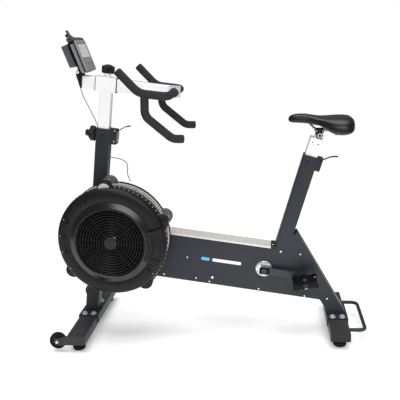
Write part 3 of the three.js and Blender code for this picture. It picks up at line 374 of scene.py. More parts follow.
def bent_route(corners, steps=10):
    """Straight runs with a bend radius of its own at each corner: (point, bend)."""
    points = [Vector(p) for p, _ in corners]
    bends = [bend for _, bend in corners]
    route = [points[0]]
    for before, corner, after, bend in zip(points, points[1:], points[2:], bends[1:]):
        into, away = (before - corner).normalized(), (after - corner).normalized()
        reach = bend / math.tan(into.angle(away) / 2)
        start, end = corner + into * reach, corner + away * reach
        for k in range(steps + 1):
            t = k / steps
            route.append(start * (1 - t) ** 2 + corner * 2 * t * (1 - t) + end * t ** 2)
    route.append(points[-1])
    return route


def rod(route, radius, sides, round_ends=0.0):
    """A round rod along a route; round_ends adds a rounded tip of that length to each end."""
    route = [Vector(p) for p in route]
    stations = []
    normal = None
    for i, point in enumerate(route):
        tangent = (route[min(i + 1, len(route) - 1)] - route[max(i - 1, 0)]).normalized()
        if normal is None:
            normal = Vector((0, 1, 0)) if abs(tangent.y) < 0.9 else Vector((0, 0, 1))
        normal = (normal - tangent * normal.dot(tangent)).normalized()
        stations.append((point, normal, tangent.cross(normal), tangent))

    def ring(station, scale=1.0, shift=0.0):
        point, across, side, along = station
        centre = point + along * shift
        return [tuple(centre + (across * c + side * s) * scale) for c, s in circle(radius, sides)]

    rings = [ring(station) for station in stations]
    if round_ends:
        caps = [(math.cos(a), round_ends * math.sin(a)) for a in (0.5, 1.0, 1.4)]
        head = [ring(stations[0], scale, -shift) for scale, shift in reversed(caps)]
        tail = [ring(stations[-1], scale, shift) for scale, shift in caps]
        rings = head + rings + tail
    return loft(rings)


# ---------------------------------------------------------------- pieces


def piece(name, shapes, look, body, at=WORLD, replaces=(), bevel=0.0, angle=35, segments=2):
    """One Blender object from shapes in millimetres; it rides on a CAD body unless body is None."""
    points, faces = [], []
    for shape in shapes:
        base = len(points)
        points += [tuple(c * MM for c in p) for p in shape[0]]
        faces += [tuple(base + i for i in face) for face in shape[1]]
    mesh = bpy.data.meshes.new(name)
    mesh.from_pydata(points, [], faces)
    mesh.validate()
    face_out(mesh)
    mesh.polygons.foreach_set("use_smooth", [True] * len(mesh.polygons))
    mesh.set_sharp_from_angle(angle=math.radians(angle))
    obj = bpy.data.objects.new(name, mesh)
    bpy.context.scene.collection.objects.link(obj)
    location, rotation, _ = at.decompose()
    obj.matrix_world = Matrix.LocRotScale(location * MM, rotation, None)
    obj.data.materials.append(MATERIALS[look])
    if bevel:
        add_bevel(obj, bevel, segments)
    if body:
        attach(obj, body)
    if replaces:
        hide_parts(*replaces)
    return obj


def face_out(mesh):
    work = bmesh.new()
    work.from_mesh(mesh)
    bmesh.ops.recalc_face_normals(work, faces=work.faces)
    work.to_mesh(mesh)
    work.free()


def add_bevel(obj, width, segments=2):
    bevel = obj.modifiers.new("bevel", "BEVEL")
    bevel.width = width * MM
    bevel.segments = segments
    bevel.limit_method = "ANGLE"
    bevel.angle_limit = math.radians(32)
    bevel.harden_normals = True


def glyph(name, text, size, spot):
    """A raised numeral on the fan's face, facing -Y."""
    curve = bpy.data.curves.new(name, "FONT")
    curve.body = text
    curve.size = size * MM
    curve.extrude = 0.5 * MM
    curve.align_x, curve.align_y = "CENTER", "CENTER"
    curve.resolution_u = 4
    text_object = bpy.data.objects.new(name + "_text", curve)
    bpy.context.scene.collection.objects.link(text_object)
    bpy.context.view_layer.update()
    mesh = bpy.data.meshes.new_from_object(text_object)
    bpy.data.objects.remove(text_object)
    obj = bpy.data.objects.new(name, mesh)
    bpy.context.scene.collection.objects.link(obj)
    spot = FAN @ Vector(spot)
    obj.matrix_world = Matrix.Translation(spot * MM) @ Matrix.Rotation(math.pi / 2, 4, "X")
    mesh.materials.clear()
    mesh.materials.append(MATERIALS["deep_black"])
    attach(obj, "frame")


def screw_head(name, x, z, radius, face, outward, look, body, at):
    """A domed screw with a dark hexagonal socket, on a face across Y."""
    proud = radius * 0.55
    piece(name, [disc_y(radius, face, face + outward * proud, x, z, 20, proud * 0.7)], look, body, at)
    socket = face + outward * (proud + 0.12)
    piece(name + "_socket", [disc_y(radius * 0.42, face, socket, x, z, 6)], "deep_black", body, at)


def bolt_up(name, x, y, z):
    """A hexagon bolt on a washer, standing up from a plate of the frame."""
    washer = [(12.5, z), (12.5, z + 1.6), (11.5, z + 2.2)]
    head = [(9.4, z + 2.2), (9.4, z + 7.6), (8.2, z + 8.8)]
    shapes = [loft([level_ring(r, height, sides, x, y) for r, height in profile])
              for profile, sides in ((washer, 28), (head, 6))]
    piece(name, shapes, "bolt_zinc", "frame", bevel=0.4)


# ---------------------------------------------------------------- CAD nodes that stay


def finish_node(node, look, bevel):
    """A CAD node keeps its shape and takes a finish and rounded edges."""
    obj = frame["nodes"][node]
    mesh = obj.data
    if mesh.attributes.get("custom_normal"):
        mesh.attributes.remove(mesh.attributes["custom_normal"])
    mesh.materials.clear()
    mesh.materials.append(MATERIALS[look])
    mesh.polygons.foreach_set("material_index", [0] * len(mesh.polygons))
    mesh.polygons.foreach_set("use_smooth", [True] * len(mesh.polygons))
    weld = obj.modifiers.new("weld", "WELD")
    weld.merge_threshold = 0.00001
    if bevel:
        add_bevel(obj, bevel)
    else:
        split = obj.modifiers.new("crisp", "EDGE_SPLIT")
        split.split_angle = math.radians(32)


def finish_nodes():
    slots = {row["node"]: row["material_slot"] for row in frame["record"]["subparts"]}
    soft_edges = {
        "front_post": 1.2, "seat_tube": 1.2, "front_foot": 1.2, "rear_foot": 1.2, "front_foot_bridge": 0.8,
        "rear_foot_bridge": 0.8, "handlebar_post": 1.0, "top_tube": 0.8, "bar_clamp": 1.5,
        "seat_post": 1.0, "crank_arm_left": 1.5, "crank_arm_right": 1.5, "spine_top_cover": 0.6,
        "crank_bearing_left": 0.8, "crank_bearing_right": 0.8, "saddle_clamp": 1.2, "console_neck": 0.8,
        "transport_wheel_left": 1.2, "transport_wheel_right": 1.2,
    }
    own_looks = {
        "crank_bearing_left": "cup_chrome", "crank_bearing_right": "cup_chrome",
        "front_foot": "foot_paint", "rear_foot": "foot_paint",
    }
    for node in frame["nodes"]:
        finish_node(node, own_looks.get(node, slots[node]), soft_edges.get(node, 0.0))


# ---------------------------------------------------------------- fan housing

FACE = -179
LUG_ANGLES, LUG_RADIUS = (94, 20, -55, -144), 219
COVER_BACK, RING_FRONT, RING_BACK = -150.3, -150, -126
MESH_FRONT, MESH_BACK = -123.8, -60
SHELL_BACK = -45.2


def fan_lugs(radius, y0, y1, sides, edge, out=LUG_RADIUS):
    return [disc_y(radius, y0, y1, *polar(out, angle), sides, edge) for angle in LUG_ANGLES]


def fan_cover():
    profile = [
        (168, FACE + 5), (168, FACE + 0.6), (171, FACE - 1), (190, FACE - 2.4), (206, FACE - 1.8),
        (216, FACE + 1), (221.5, FACE + 5), (224.8, FACE + 11), (225.5, FACE + 17), (225.5, FACE + 20),
        (227, FACE + 20.5), (227, -151), (222, COVER_BACK), (219, COVER_BACK), (219, FACE + 14),
        (210, FACE + 6),
    ]
    shapes = [turned(profile, 160)] + fan_lugs(31, COVER_BACK, -161, 40, 4)
    piece("fan_cover", shapes, "fan_plastic", "frame", FAN, replaces=["fan_front_cover"], angle=28)
    # Small balls along the rim, painted white for the bright dots seen there: painted highlights.
    rivets = [ball(x, -154, z, 2.6) for x, z in circle(227, 74)]
    piece("cover_rivet_glints", rivets, "mark_white", "frame", FAN)
    insets = fan_lugs(24.5, -160.6, -161.8, 40, 0.6)
    # Only the top lug's inset takes the light grey, a painted highlight; the other three stay dark.
    piece("lug_inset_top_highlight", insets[:1], "lug_painted_highlight", "frame", FAN)
    piece("lug_insets", insets[1:], "fan_plastic", "frame", FAN)


def comb_ring():
    """The middle ring ends in a comb of teeth that holds the mesh."""
    teeth = 155
    profile = [
        (217.5, RING_FRONT), (222.5, RING_FRONT), (222.5, -146), (220.5, -145), (220.5, -129),
        (223.4, -128), (223.4, -124), (217.5, -124),
    ]
    tooth = box(220.9, 223.4, -124.2, -110, -2.3, 2.3)
    shapes = [turned(profile, 160)]
    shapes += [moved(tooth, turn_y(360 * k / teeth)) for k in range(teeth)]
    shapes += fan_lugs(30, RING_BACK, RING_FRONT, 36, 1.5)
    piece("fan_comb_ring", shapes, "fan_plastic", "frame", FAN, replaces=["fan_middle_ring"], angle=30)


def mesh_band():
    """Expanded metal: two families of crossing strips between two rims."""
    strips, steps, twist, half = 118, 10, 13, math.degrees(1.15 / 220)
    shapes = []
    for direction, low, high in ((-1, 219.0, 220.0), (1, 219.6, 220.6)):
        for k in range(strips):
            rings = []
            for i in range(steps + 1):
                angle = 360 * k / strips + direction * twist * i / steps
                y = MESH_FRONT + (MESH_BACK - MESH_FRONT - 0.5) * i / steps
                corners = ((low, angle - half), (high, angle - half), (high, angle + half), (low, angle + half))
                rings.append([(x, y, z) for x, z in (polar(r, a) for r, a in corners)])
            shapes.append(loft(rings))
    for y in (MESH_FRONT + 2.5, MESH_BACK - 2.5):
        shapes.append(hoop(218.6, 221, y - 2, y + 2, 120))
    piece("fan_mesh", shapes, "mesh_metal", "frame", FAN, replaces=["fan_mesh_band"])


def back_cover():
    lugs = fan_lugs(31, -47.5, -73, 40, 6, out=221)
    piece("rear_lugs", lugs, "lug_grey", "frame", FAN)
    for i, angle in enumerate(LUG_ANGLES):
        screw_head(f"rear_lug_screw_{i}", *polar(236, angle), 4.5, -73, -1, "steel", "frame", FAN)
    rib = box(40, 205, SHELL_BACK, -42, -2, 2)
    ribs = [moved(rib, turn_y(15 + 30 * k)) for k in range(12)]
    ribs += [hoop(38, 44, SHELL_BACK, -42, 64), hoop(120, 124, SHELL_BACK, -42)]
    piece("back_cover_ribs", ribs, "fan_plastic", "frame", FAN, bevel=0.6)


def guard_grille():
    """Ten rings on thirty-two thin spokes, every fourth of which is stout and runs to the hub."""
    back, face = FACE - 2, FACE - 8.5
    rings, outer, pitch = 10, 138, 11.4
    shapes = []
    for k in range(rings):
        r = outer - pitch * k
        shapes.append(turned([
            (r - 2.9, back), (r - 2.9, face + 2), (r - 1.4, face), (r + 1.4, face), (r + 2.9, face + 2),
            (r + 2.9, back),
        ]))
    stout = box(24, 143, face + 3.6, back + 1, -1.6, 1.6)
    shapes += [moved(stout, turn_y(45 * k)) for k in range(8)]
    for k in range(32):
        if k % 4:
            start = 60 if k % 2 == 0 else 84
            shapes.append(moved(box(start, 143, face + 4.2, back, -0.9, 0.9), turn_y(11.25 * k)))
    piece("guard_grille", shapes, "guard_wire", "frame", LEANING_FAN, replaces=["fan_guard_grille"], angle=30)
    hub = [
        (0.01, face + 3), (27, face + 3), (27, face - 1), (25, face - 3), (14, face - 4.4), (0.01, face - 4.8),
    ]
    piece("guard_hub", [turned(hub, 48)], "hub_grey", "frame", LEANING_FAN)


def sector(inner, outer, start, end, steps=16):
    """The outline of a part of a ring, between two angles in degrees."""
    arc = [start + (end - start) * k / steps for k in range(steps + 1)]
    return [polar(outer, a) for a in arc] + [polar(inner, a) for a in reversed(arc)]


def damper_dial():
    rim = [
        (142, FACE + 1), (142, FACE - 13), (143.4, FACE - 15), (147, FACE - 15.4), (150.5, FACE - 14),
        (166, FACE - 3.6), (169.5, FACE - 2.2), (170.5, FACE), (170.5, FACE + 1),
    ]
    piece("dial_rim", [turned(rim, 160)], "dial_gloss", "damper", FAN,
          replaces=["damper_dial"], angle=30)

    top, floor, back = FACE - 15.4, FACE - 10, FACE + 1
    edge = sector(146, 219, -28.5, 16.4)
    levels = (
        (edge, back), (edge, top + 2.5), (sector(148, 217, -27.8, 15.7), top),
        (sector(174, 209, -22, 11.5), top), (sector(175.5, 207.5, -21.4, 10.9), floor),
    )
    pad = loft([[(x, y, z) for x, z in outline] for outline, y in levels])
    piece("dial_lever", [pad], "fan_plastic", "damper", FAN, angle=40)
    rib = box(180, 204, floor - 1.5, floor + 1, -1.2, 1.2)
    ribs = [moved(rib, turn_y(degrees)) for degrees in (-4, 0, 4)]
    piece("dial_grip_ribs", ribs, "fan_plastic", "damper", FAN, bevel=0.5)
    for label, angle in (("1", 117), ("2", 152), ("3", 172), ("4", 191), ("9", 321), ("10", 339)):
        x, z = polar(194, angle)
        glyph(f"dial_number_{label}", label, 30, (x, FACE - 2.9, z))
    # White dots beside the numerals: painted glints on the numerals' edges.
    for angle in (152, 172, 191, 212, 321, 339):
        dot = disc_y(1.6, FACE, FACE - 2.2, *polar(211, angle), 12)
        piece(f"dial_glint_dot_{angle}", [dot], "mark_white", "frame", FAN)


# ---------------------------------------------------------------- handlebar


def handlebar():
    """One foam-covered bar: two horns and a crossbar, with a drop under each horn."""
    half, grip = 185, 16
    horn, corner = (84, 71), (170, 75)
    main = [
        ((horn[0], -half, BAR_LEVEL + horn[1]), 0), ((corner[0], -half, BAR_LEVEL), corner[1]),
        ((BAR_U, -half, BAR_LEVEL), 40), ((BAR_U, half, BAR_LEVEL), 40),
        ((corner[0], half, BAR_LEVEL), corner[1]), ((horn[0], half, BAR_LEVEL + horn[1]), 0),
    ]
    shapes = [rod(bent_route(main), grip, 28, round_ends=5)]
    drop = (((-201, 1040), 0), ((-205, 961), 48), ((-103, 872), 48), ((-63, 871), 0))
    for side in (-half, half):
        corners = [(MAST.inverted() @ Vector((x, side, z)), bend) for (x, z), bend in drop]
        shapes.append(rod(bent_route(corners), grip, 28, round_ends=5))
    bar = piece("handlebar_foam", shapes, "grip_foam", "top_tube", MAST, replaces=["handlebar"], angle=60)


def bar_clamp():
    """A bright strap folded over the crossbar, with a steel ring at each side."""
    front, rear, low, high = 256.3, 299, 984, 1029.5
    strap = [
        (front, high - 3), (front, high), (rear, high), (rear + 0.5, high - 1), (rear + 0.5, low),
        (rear - 3, low), (rear - 3, high - 3.5),
    ]
    piece("clamp_strap", [slab(strap, -20, 20)], "post_paint", "top_tube", MAST, bevel=0.6)
    rings = [hoop(16.2, 20, y - 1, y + 1, 40, (BAR_U, BAR_LEVEL)) for y in (-21.5, 21.5)]
    piece("clamp_rings", rings, "steel", "top_tube", MAST)


def star_knob(name, node, at, radius, stem, height, flare, stem_look, cap=()):
    """A lobed knob along local +Z on a stem of (part of the radius, height), with a small cap if any."""
    lobes, sides = 6, 72
    profile = ((0.84, 0), (0.96, 1.5), (1.0, 4), (1.0, height - 5), (0.95, height - 2), (0.84, height),
               (0.55, height + 2.5), (0.3, height + 5), (0.02, height + 6))
    rings = []
    for share, z in profile:
        ring = []
        for k in range(sides):
            degrees = 360 * k / sides
            lobe = 0.84 + 0.16 * math.cos(math.radians(lobes * degrees)) if share > 0.7 else 1.0
            ring.append((*polar(radius * share * lobe, degrees), stem + z))
        rings.append(ring)
    shapes = [loft(rings)]
    if cap:
        shapes.append(loft([level_ring(r, z) for r, z in cap]))
    piece(name, shapes, "black_plastic", node, at, replaces=[node], angle=50)
    stem_shape = loft([level_ring(radius * share, z) for share, z in flare])
    piece(name + "_stem", [stem_shape], stem_look, node, at, angle=30)


def cam_lever(name, node, at, rise, turn, length, band_look):
    """A slim curved strap from a cam barrel, with a pale band before its dark tip."""
    lever = at @ Matrix.Rotation(-rise, 4, "Y")
    total, steps = length * 1.6, 24
    spine = []
    for k in range(steps + 1):
        x = total * k / steps
        bent = max(0.0, x - length * 0.7)
        spine.append((x, -bent ** 2 * math.tan(turn) / (total * 0.62)))

    def strap(first, last, width, thick):
        corners = ((-width, -thick), (width, -thick), (width, thick), (-width, thick))
        return loft([[(x, y, z + dz) for y, dz in corners] for x, z in spine[first:last + 1]])

    shapes = [strap(0, 14, 4.5, 1.9), strap(18, steps, 5.5, 2.4), disc_y(6.4, -6.4, 6.4, 0, 0, 24)]
    piece(name, shapes, "black_plastic", node, lever, replaces=[node], bevel=0.8)
    piece(name + "_band", [strap(14, 18, 4.7, 2.1)], band_look, node, lever, bevel=0.5)
    piece(name + "_pin", [disc_y(3, -8, 8, 0, 0, 20)], "steel", node, lever)


def knobs_and_levers():
    radius, stem, height = 27, 14, 30
    at = MAST @ place(1, 0, 1033.8)
    flare = ((0.62, 0), (0.62, 2.5), (0.5, 5), (0.46, stem - 3), (0.66, stem + 0.5))
    star_knob("reach_star", "reach_knob", at, radius, stem, height, flare, "post_paint")

    radius, stem, height, cap_radius, cap_top = 32, 6, 24, 14, 48
    at = MAST @ place(-29.3, 0, 797) @ turn_y(-90)
    flare = ((0.5, 0), (0.5, stem + 0.5))
    cap = ((cap_radius, stem + height), (cap_radius, cap_top - 3), (cap_radius - 3, cap_top))
    star_knob("post_star", "post_knob", at, radius, stem, height, flare, "black_plastic", cap)

    at = MAST @ place(50, 0, 812)
    cam_lever("post_cam", "post_lever", at, math.radians(30) + LEAN, math.radians(16), 42, "steel")
    at = SEAT @ place(44, 0, -12)
    cam_lever("seat_cam", "seat_lever", at, math.radians(22) + SEAT_LEAN, math.radians(18), 44, "black_plastic")


# ---------------------------------------------------------------- console

SHELL_DEPTH, SHELL_HALF_W, SHELL_HALF_H, SHELL_CORNER = 33, 67, 63.5, 10
BUTTON_Z, BUTTON_PITCH, BUTTON_TIP = -30, 27, 2
NECK_X, NECK_Z = -501, 1124


def shell_outline(inset, x):
    """The console's rounded outline across X, drawn in by inset."""
    w, h = SHELL_HALF_W - inset, SHELL_HALF_H - inset
    r = SHELL_CORNER - min(inset, SHELL_CORNER - 2)
    return [(x, y, z) for y, z in rounded_box(-w, w, -h, h, r)]


def window_outline(inset, x):
    outline = rounded_box(inset - 50, 50 - inset, inset - 8, 46 - inset, 3)
    return [(x, y, z) for y, z in outline]


def facing_rider(shape, x, y, z):
    """A shape drawn towards -Y, turned to face +X."""
    return moved(shape, Matrix.Translation((x, y, z)) @ Matrix.Rotation(math.pi / 2, 4, "Z"))


def console_shell():
    back = -SHELL_DEPTH
    tub = loft([
        shell_outline(5, back), shell_outline(1.2, back + 2.5), shell_outline(0, back + 6),
        shell_outline(0, -12.5), shell_outline(1.5, -12),
    ])
    spot = CONSOLE.inverted() @ Vector((NECK_X, 0, NECK_Z))
    barrel = disc_y(7.5, -18, 18, spot.x, spot.z, 28)
    web = box(spot.x, back + 1, -16, 16, spot.z - 6, spot.z + 6)
    piece("console_tub", [tub, barrel, web], "console_side", "console", CONSOLE,
          replaces=["console_shell"], angle=30)
    groove = loft([shell_outline(2.6, -13), shell_outline(2.6, -4.5)])
    piece("console_groove", [groove], "deep_black", "console", CONSOLE)
    back_edge = loft([
        shell_outline(4.6, back - 0.4), shell_outline(0.8, back + 2), shell_outline(-0.4, back + 5.5),
        shell_outline(-0.4, back + 8.5),
    ])
    # The top band of the tub's sides, under the hood, is painted black: a painted shadow cast by the hood.
    hood_shadow_band = loft([[p for p in shell_outline(-0.3, x) if p[2] > 53] for x in (-26, -4.6)])
    piece("console_back_edge_and_hood_shadow", [back_edge, hood_shadow_band], "deep_black", "console", CONSOLE)
    ribs = []
    for k in range(26):
        z = -52 + 104 * k / 25
        for side in (-1, 1):
            ribs.append(box(-12, -5, *span(side, SHELL_HALF_W - 3, SHELL_HALF_W - 0.6), z - 1.1, z + 1.1))
    piece("console_ribs", ribs, "console_dark", "console", CONSOLE, bevel=0.3)


def console_front():
    bezel = loft([
        shell_outline(2, -5.2), shell_outline(0, -4.4), shell_outline(0, -2), shell_outline(1, -0.6),
        shell_outline(2.6, 0), window_outline(-2.5, 0), window_outline(-1.5, -0.8), window_outline(0, -2.9),
    ])
    piece("console_bezel", [bezel], "console_grey", "console", CONSOLE)
    back, front = -0.62, -0.5
    marks = [box(back, front, y, y + 9, z, z + 1.2) for y in (-36, -20, 6, 22) for z in (36, 27)]
    marks += [box(back, front, -40, 40, 16, 16.8)]
    marks += [box(back, front, y, y + 1.2, z, z + 8) for y in (-34, -22, 8, 20) for z in (2, 28)]
    piece("display_segments", marks, "lcd_mark", "console", CONSOLE)
    for i in range(4):
        y = BUTTON_PITCH * (i - 1.5)
        ring = facing_rider(hoop(6, 8, 0, -0.5, 32), 0, y, BUTTON_Z)
        piece(f"button_ring_{i + 1}", [ring], "mark_white", "console", CONSOLE)
        tip = (BUTTON_TIP - 0.02, BUTTON_TIP + 0.25)
        mark = [box(*tip, y - 3, y + 3, BUTTON_Z - 0.7, BUTTON_Z + 0.7)]
        if i in (1, 2):
            mark.append(box(*tip, y - 0.7, y + 0.7, BUTTON_Z - 3, BUTTON_Z + 3))
        piece(f"button_mark_{i + 1}", mark, "mark_white", f"console_button_{i + 1}", CONSOLE)
    light = facing_rider(disc_y(1.8, 0, -0.5, 0, 0, 16), 0, -22, 55)
    piece("console_light", [light], "stripe_blue", "console", CONSOLE)


def battery():
    front, back, half, low, high = -41, -68, 50, -27, 61
    piece("battery_cover", [box(back, front, -half, half, low, high)], "battery_grey", "console", CONSOLE,
          replaces=["battery_pack"], bevel=3, segments=3)
    neck = box(front - 1, -SHELL_DEPTH - 0.3, 4 - half, half - 4, low + 3, high + 1)
    piece("battery_neck", [neck], "deep_black", "console", CONSOLE)
    ribs = []
    for k in range(14):
        z = low + 6 + 6 * k
        for side in (-1, 1):
            ribs.append(box(back + 4, front - 4, *span(side, half - 0.5, half + 0.4), z, z + 2))
    piece("battery_ribs", ribs, "console_dark", "console", CONSOLE)


def phone_rest():
    """A hood on the console's top edge and a shield-shaped plate with a thumb screw behind it."""
    low = 63.8
    hood = [(-33, low), (-33, 80.5), (-28, 81), (-13, 79), (-5, 73.5), (-1, 68), (-1, low)]
    piece("phone_hood", [slab(hood, -62, 62)], "console_rest", "console", CONSOLE,
          replaces=["phone_rest"], bevel=2.2, segments=3)
    lean = place(-32, 0, 73.8) @ turn_y(-10)
    shield = ((-53, 0), (53, 0), (29, 15), (12, 22), (12, 42), (-12, 42), (-12, 22), (-29, 15))
    plate = loft([[(x, y, z) for y, z in shield] for x in (0, 5)])
    away = lean @ place(0, 0, 24) @ Matrix.Rotation(-math.pi / 2, 4, "Z")
    knob = moved(disc_y(6.5, 1, -13, 0, 0, 24, 3), away)
    piece("phone_knob", [knob], "black_plastic", "console", CONSOLE)
    piece("phone_plate", [moved(plate, lean)], "console_rest", "console", CONSOLE,
          bevel=1.8, segments=3)
    grips = [moved(box(4.8, 7.5, y - 4, y + 4, 6, 10), lean) for y in (-24, 24)]
    piece("phone_grips", grips, "deep_black", "console", CONSOLE, bevel=0.6)
    screw_head("hood_screw", -19, 72, 3.2, -62, -1, "deep_black", "console", CONSOLE)


def console():
    console_shell()
    console_front()
    battery()
    phone_rest()
    bolts = [disc_y(6.2, side * 24, side * 28.4, NECK_X, NECK_Z, 20, 1.6) for side in (-1, 1)]
    piece("neck_bolt", bolts, "post_paint", "top_tube")
    pin = disc_y(2.4, -24, -26.6, NECK_X - 2, NECK_Z + 13, 14, 0.8)
    piece("neck_pin", [pin], "chrome", "console")


# ---------------------------------------------------------------- saddle

# Cross-sections from nose to tail: x, half width, then the height of top, edge and underside.
SADDLE_STATIONS = (
    (337, 7, 915, 909, 905), (342, 15, 923, 909, 900), (352, 20.5, 928.5, 909.5, 897),
    (366, 24, 931, 911, 896), (384, 26, 931.5, 910, 895), (402, 28.5, 931, 908, 893.5),
    (417, 32, 928.5, 905.5, 891.5), (430, 38, 925.5, 902.5, 888.5), (444, 45.5, 923, 899, 885.5),
    (457, 54, 921.2, 895, 882), (471, 64.5, 920.2, 890, 875), (485, 76, 919.8, 884, 866),
    (500, 85.5, 920.2, 877.5, 857), (515, 92, 921, 872, 851), (531, 96, 921.5, 869, 848.8),
    (546, 97, 921.2, 867.5, 848), (560, 95, 920.5, 867.5, 849.5), (572, 90, 918.8, 868, 853),
    (581, 81, 915.5, 871.5, 857.5), (588, 67, 909.5, 877, 865), (592, 48, 902.5, 882, 872.5),
)
SADDLE_SQUARE, SADDLE_CROWN = 0.72, 0.78


def saddle_ring(x, half, top, edge, under, sides=40):
    """One cross-section: crowned on top with a shallow dip, hollowed below where it is wide."""
    dip = 5.5 * max(0.0, (half - 45) / 52)
    hollow = 16 * min(1.0, max(0.0, (half - 45) / 20))
    ring = []
    for c, s in circle(1, sides):
        y = half * math.copysign(abs(c) ** SADDLE_SQUARE, c)
        if s >= 0:
            z = edge + (top - edge) * s ** SADDLE_CROWN - dip * math.exp(-((y / 20) ** 2))
        else:
            z = edge - (edge - under) * abs(s) ** 0.7 + hollow * math.exp(-((y / 42) ** 4))
        ring.append((x, y, z))
    return ring


def saddle():
    """A moulded saddle: a smooth skin through cross-sections, with piping along each side."""
    skin = loft([saddle_ring(*station) for station in SADDLE_STATIONS])
    cover = piece("saddle_skin", [skin], "saddle_cover", "saddle", replaces=["saddle"], angle=70)
    smoother = cover.modifiers.new("smooth", "SUBSURF")
    smoother.levels = smoother.render_levels = 1

    across, rise = polar(1, 22)
    lines = []
    for side in (-1, 1):
        points = []
        for x, half, top, edge, _ in SADDLE_STATIONS[1:-1]:
            y = half * across ** SADDLE_SQUARE + 0.2
            points.append((x, side * y, edge + (top - edge) * rise ** SADDLE_CROWN + 0.1))
        lines.append(rod(spline_route(points, 3), 0.8, 6))
    piece("saddle_piping", lines, "deep_black", "saddle")


def saddle_hardware():
    """Rail clamp: toothed pivot plates, jaws over the rails and the bolts that draw them together."""
    pivot = place(TILT_X, 0, TILT_Z)
    teeth = []
    for side in (-1, 1):
        tooth = box(10.2, 13, *span(side, 28.6, 30.6), -1, 1)
        teeth += [moved(moved(tooth, turn_y(18 * k)), pivot) for k in range(20)]
    piece("clamp_teeth", teeth, "black_plastic", "saddle_clamp")
    boss_x = 520
    for side, label in SIDES:
        face = side * 29
        bolt = disc_y(6.5, face, face + side * 5, TILT_X, TILT_Z, 6)
        piece(f"clamp_bolt_{label}", [bolt], "black_plastic", "saddle_clamp", bevel=0.6)
        jaw = box(TILT_X - 18, TILT_X + 18, *span(side, 15, 29), 860.4, 869.5)
        piece(f"rail_jaw_{label}", [jaw], "black_plastic", "saddle_clamp", bevel=2.2, segments=3)
        bolts = [disc_y(3, face, face + side * 3, TILT_X + dx, 864.5, 14, 1) for dx in (-13, 13)]
        piece(f"jaw_bolts_{label}", bolts, "rivet_light", "saddle_clamp")
        boss = moved(disc_y(6, 0, side * 12, 0, 0, 20, 2), place(boss_x, side * 52, 856))
        piece(f"rail_boss_{label}", [boss], "black_plastic", "saddle")
        head = disc_y(3.2, side * 63.6, side * 66.5, boss_x, 855, 16, 1)
        piece(f"rail_bolt_{label}", [head], "rivet_light", "saddle")


# ---------------------------------------------------------------- cranks and pedals

PEDAL_INNER, PEDAL_OUTER = 65.5, 156.5


def cage_outline():
    """Side plate of a pedal cage: full at both ends, waisted round the axle."""
    quarter = [(51, 9), (47, 13), (36, 13), (26, 9.5), (14, 9.5), (9, 12.6)]
    upper = quarter + [(-x, z) for x, z in reversed(quarter)]
    return upper + [(-x, -z) for x, z in upper]


def pedal(side, label):
    body = f"pedal_{label}"
    toward = -side
    at = place(CRANK_X + toward * CRANK_LENGTH * math.cos(CRANK_DROP), 0,
               CRANK_Z - toward * CRANK_LENGTH * math.sin(CRANK_DROP), -PEDAL_TILT)
    start, end = span(side, PEDAL_INNER, PEDAL_OUTER)
    middle, outer = (start + end) / 2, side * PEDAL_OUTER
    shapes = [slab(cage_outline(), y0, y0 + 9) for y0 in (start, end - 9)]
    teeth = []
    for direction in (-1, 1):
        shapes.append(box(*span(direction, 42, 50), start + 4, end - 4, -9, 9))
        shapes.append(box(*span(direction, 24, 28), start + 4, end - 4, -6, 6))
        for k in range(7):
            y = start + 15 + 10.2 * k
            teeth.append(box(*span(direction, 43, 48.5), y - 2, y + 2, -12.4, 12.4))
    for offset in (-22, 0, 22):
        shapes.append(box(-46, 46, middle + offset - 2.5, middle + offset + 2.5, -6.5, 6.5))
    piece(f"pedal_cage_{label}", shapes, "pedal_resin", body, at, replaces=[body], bevel=1.2)
    piece(f"pedal_teeth_{label}", teeth, "pedal_resin", body, at, bevel=0.7)
    barrel = [
        (6.4, start + 1), (12, start + 1), (10.5, start + 16), (10.5, end - 14), (12, end - 4),
        (6.4, end - 4),
    ]
    piece(f"pedal_barrel_{label}", [turned(barrel, 36)], "black_plastic", body, at)
    cap = disc_y(9.5, outer - side * 4, outer + side * 1.8, 0, 0, 28, 1.5)
    piece(f"pedal_cap_{label}", [cap], "black_plastic", body, at)
    # White dots on the cage corner and the barrel: painted highlights where the pedal glints.
    glint_dots = [ball(42, side * 106, 13, 3)] + [ball(dx, side * 120, 12.4, 1.8) for dx in (-3.5, 3.5)]
    piece(f"pedal_glint_dots_{label}", glint_dots, "mark_white", body, at)
    reflectors = [box(*span(direction, 50, 51.2), middle - 20, middle + 20, -6, 6) for direction in (-1, 1)]
    piece(f"pedal_reflectors_{label}", reflectors, "reflector", body, at, bevel=0.4)
    rivets = [disc_y(1.8, outer, outer + side * 1.2, dx, -10, 14) for dx in (-3.5, 3.5)]
    piece(f"pedal_rivets_{label}", rivets, "rivet_light", body, at)


def crank_hub(side, label):
    """The black cap over the crank's square eye, and the holes of the bearing cup behind it."""
    hub = place(CRANK_X, 0, CRANK_Z, CRANK_DROP + (0 if side < 0 else math.pi))
    face = side * 57
    cap = box(-19, 23, *sorted((face - side, face + side * 4.5)), -13.5, 13.5)
    piece(f"crank_boss_{label}", [cap], "deep_black", "crank", hub, bevel=2.2, segments=3)
    proud = sorted((face + side * 4, face + side * 4.9))
    slots = [box(4, 19, *proud, z, z + 2.2) for z in (-7, -1, 5)]
    piece(f"crank_boss_slots_{label}", slots, "hub_grey", "crank", hub)
    holes = []
    for k in range(8):
        dx, dz = polar(29.5, 45 * k + 22)
        holes.append(disc_y(2.2, side * 33, side * 33.6, CRANK_X + dx, CRANK_Z + dz, 14))
    piece(f"bearing_holes_{label}", holes, "deep_black", "frame")


def pedals():
    for side, label in SIDES:
        pedal(side, label)
        crank_hub(side, label)


# ---------------------------------------------------------------- spine, post and feet


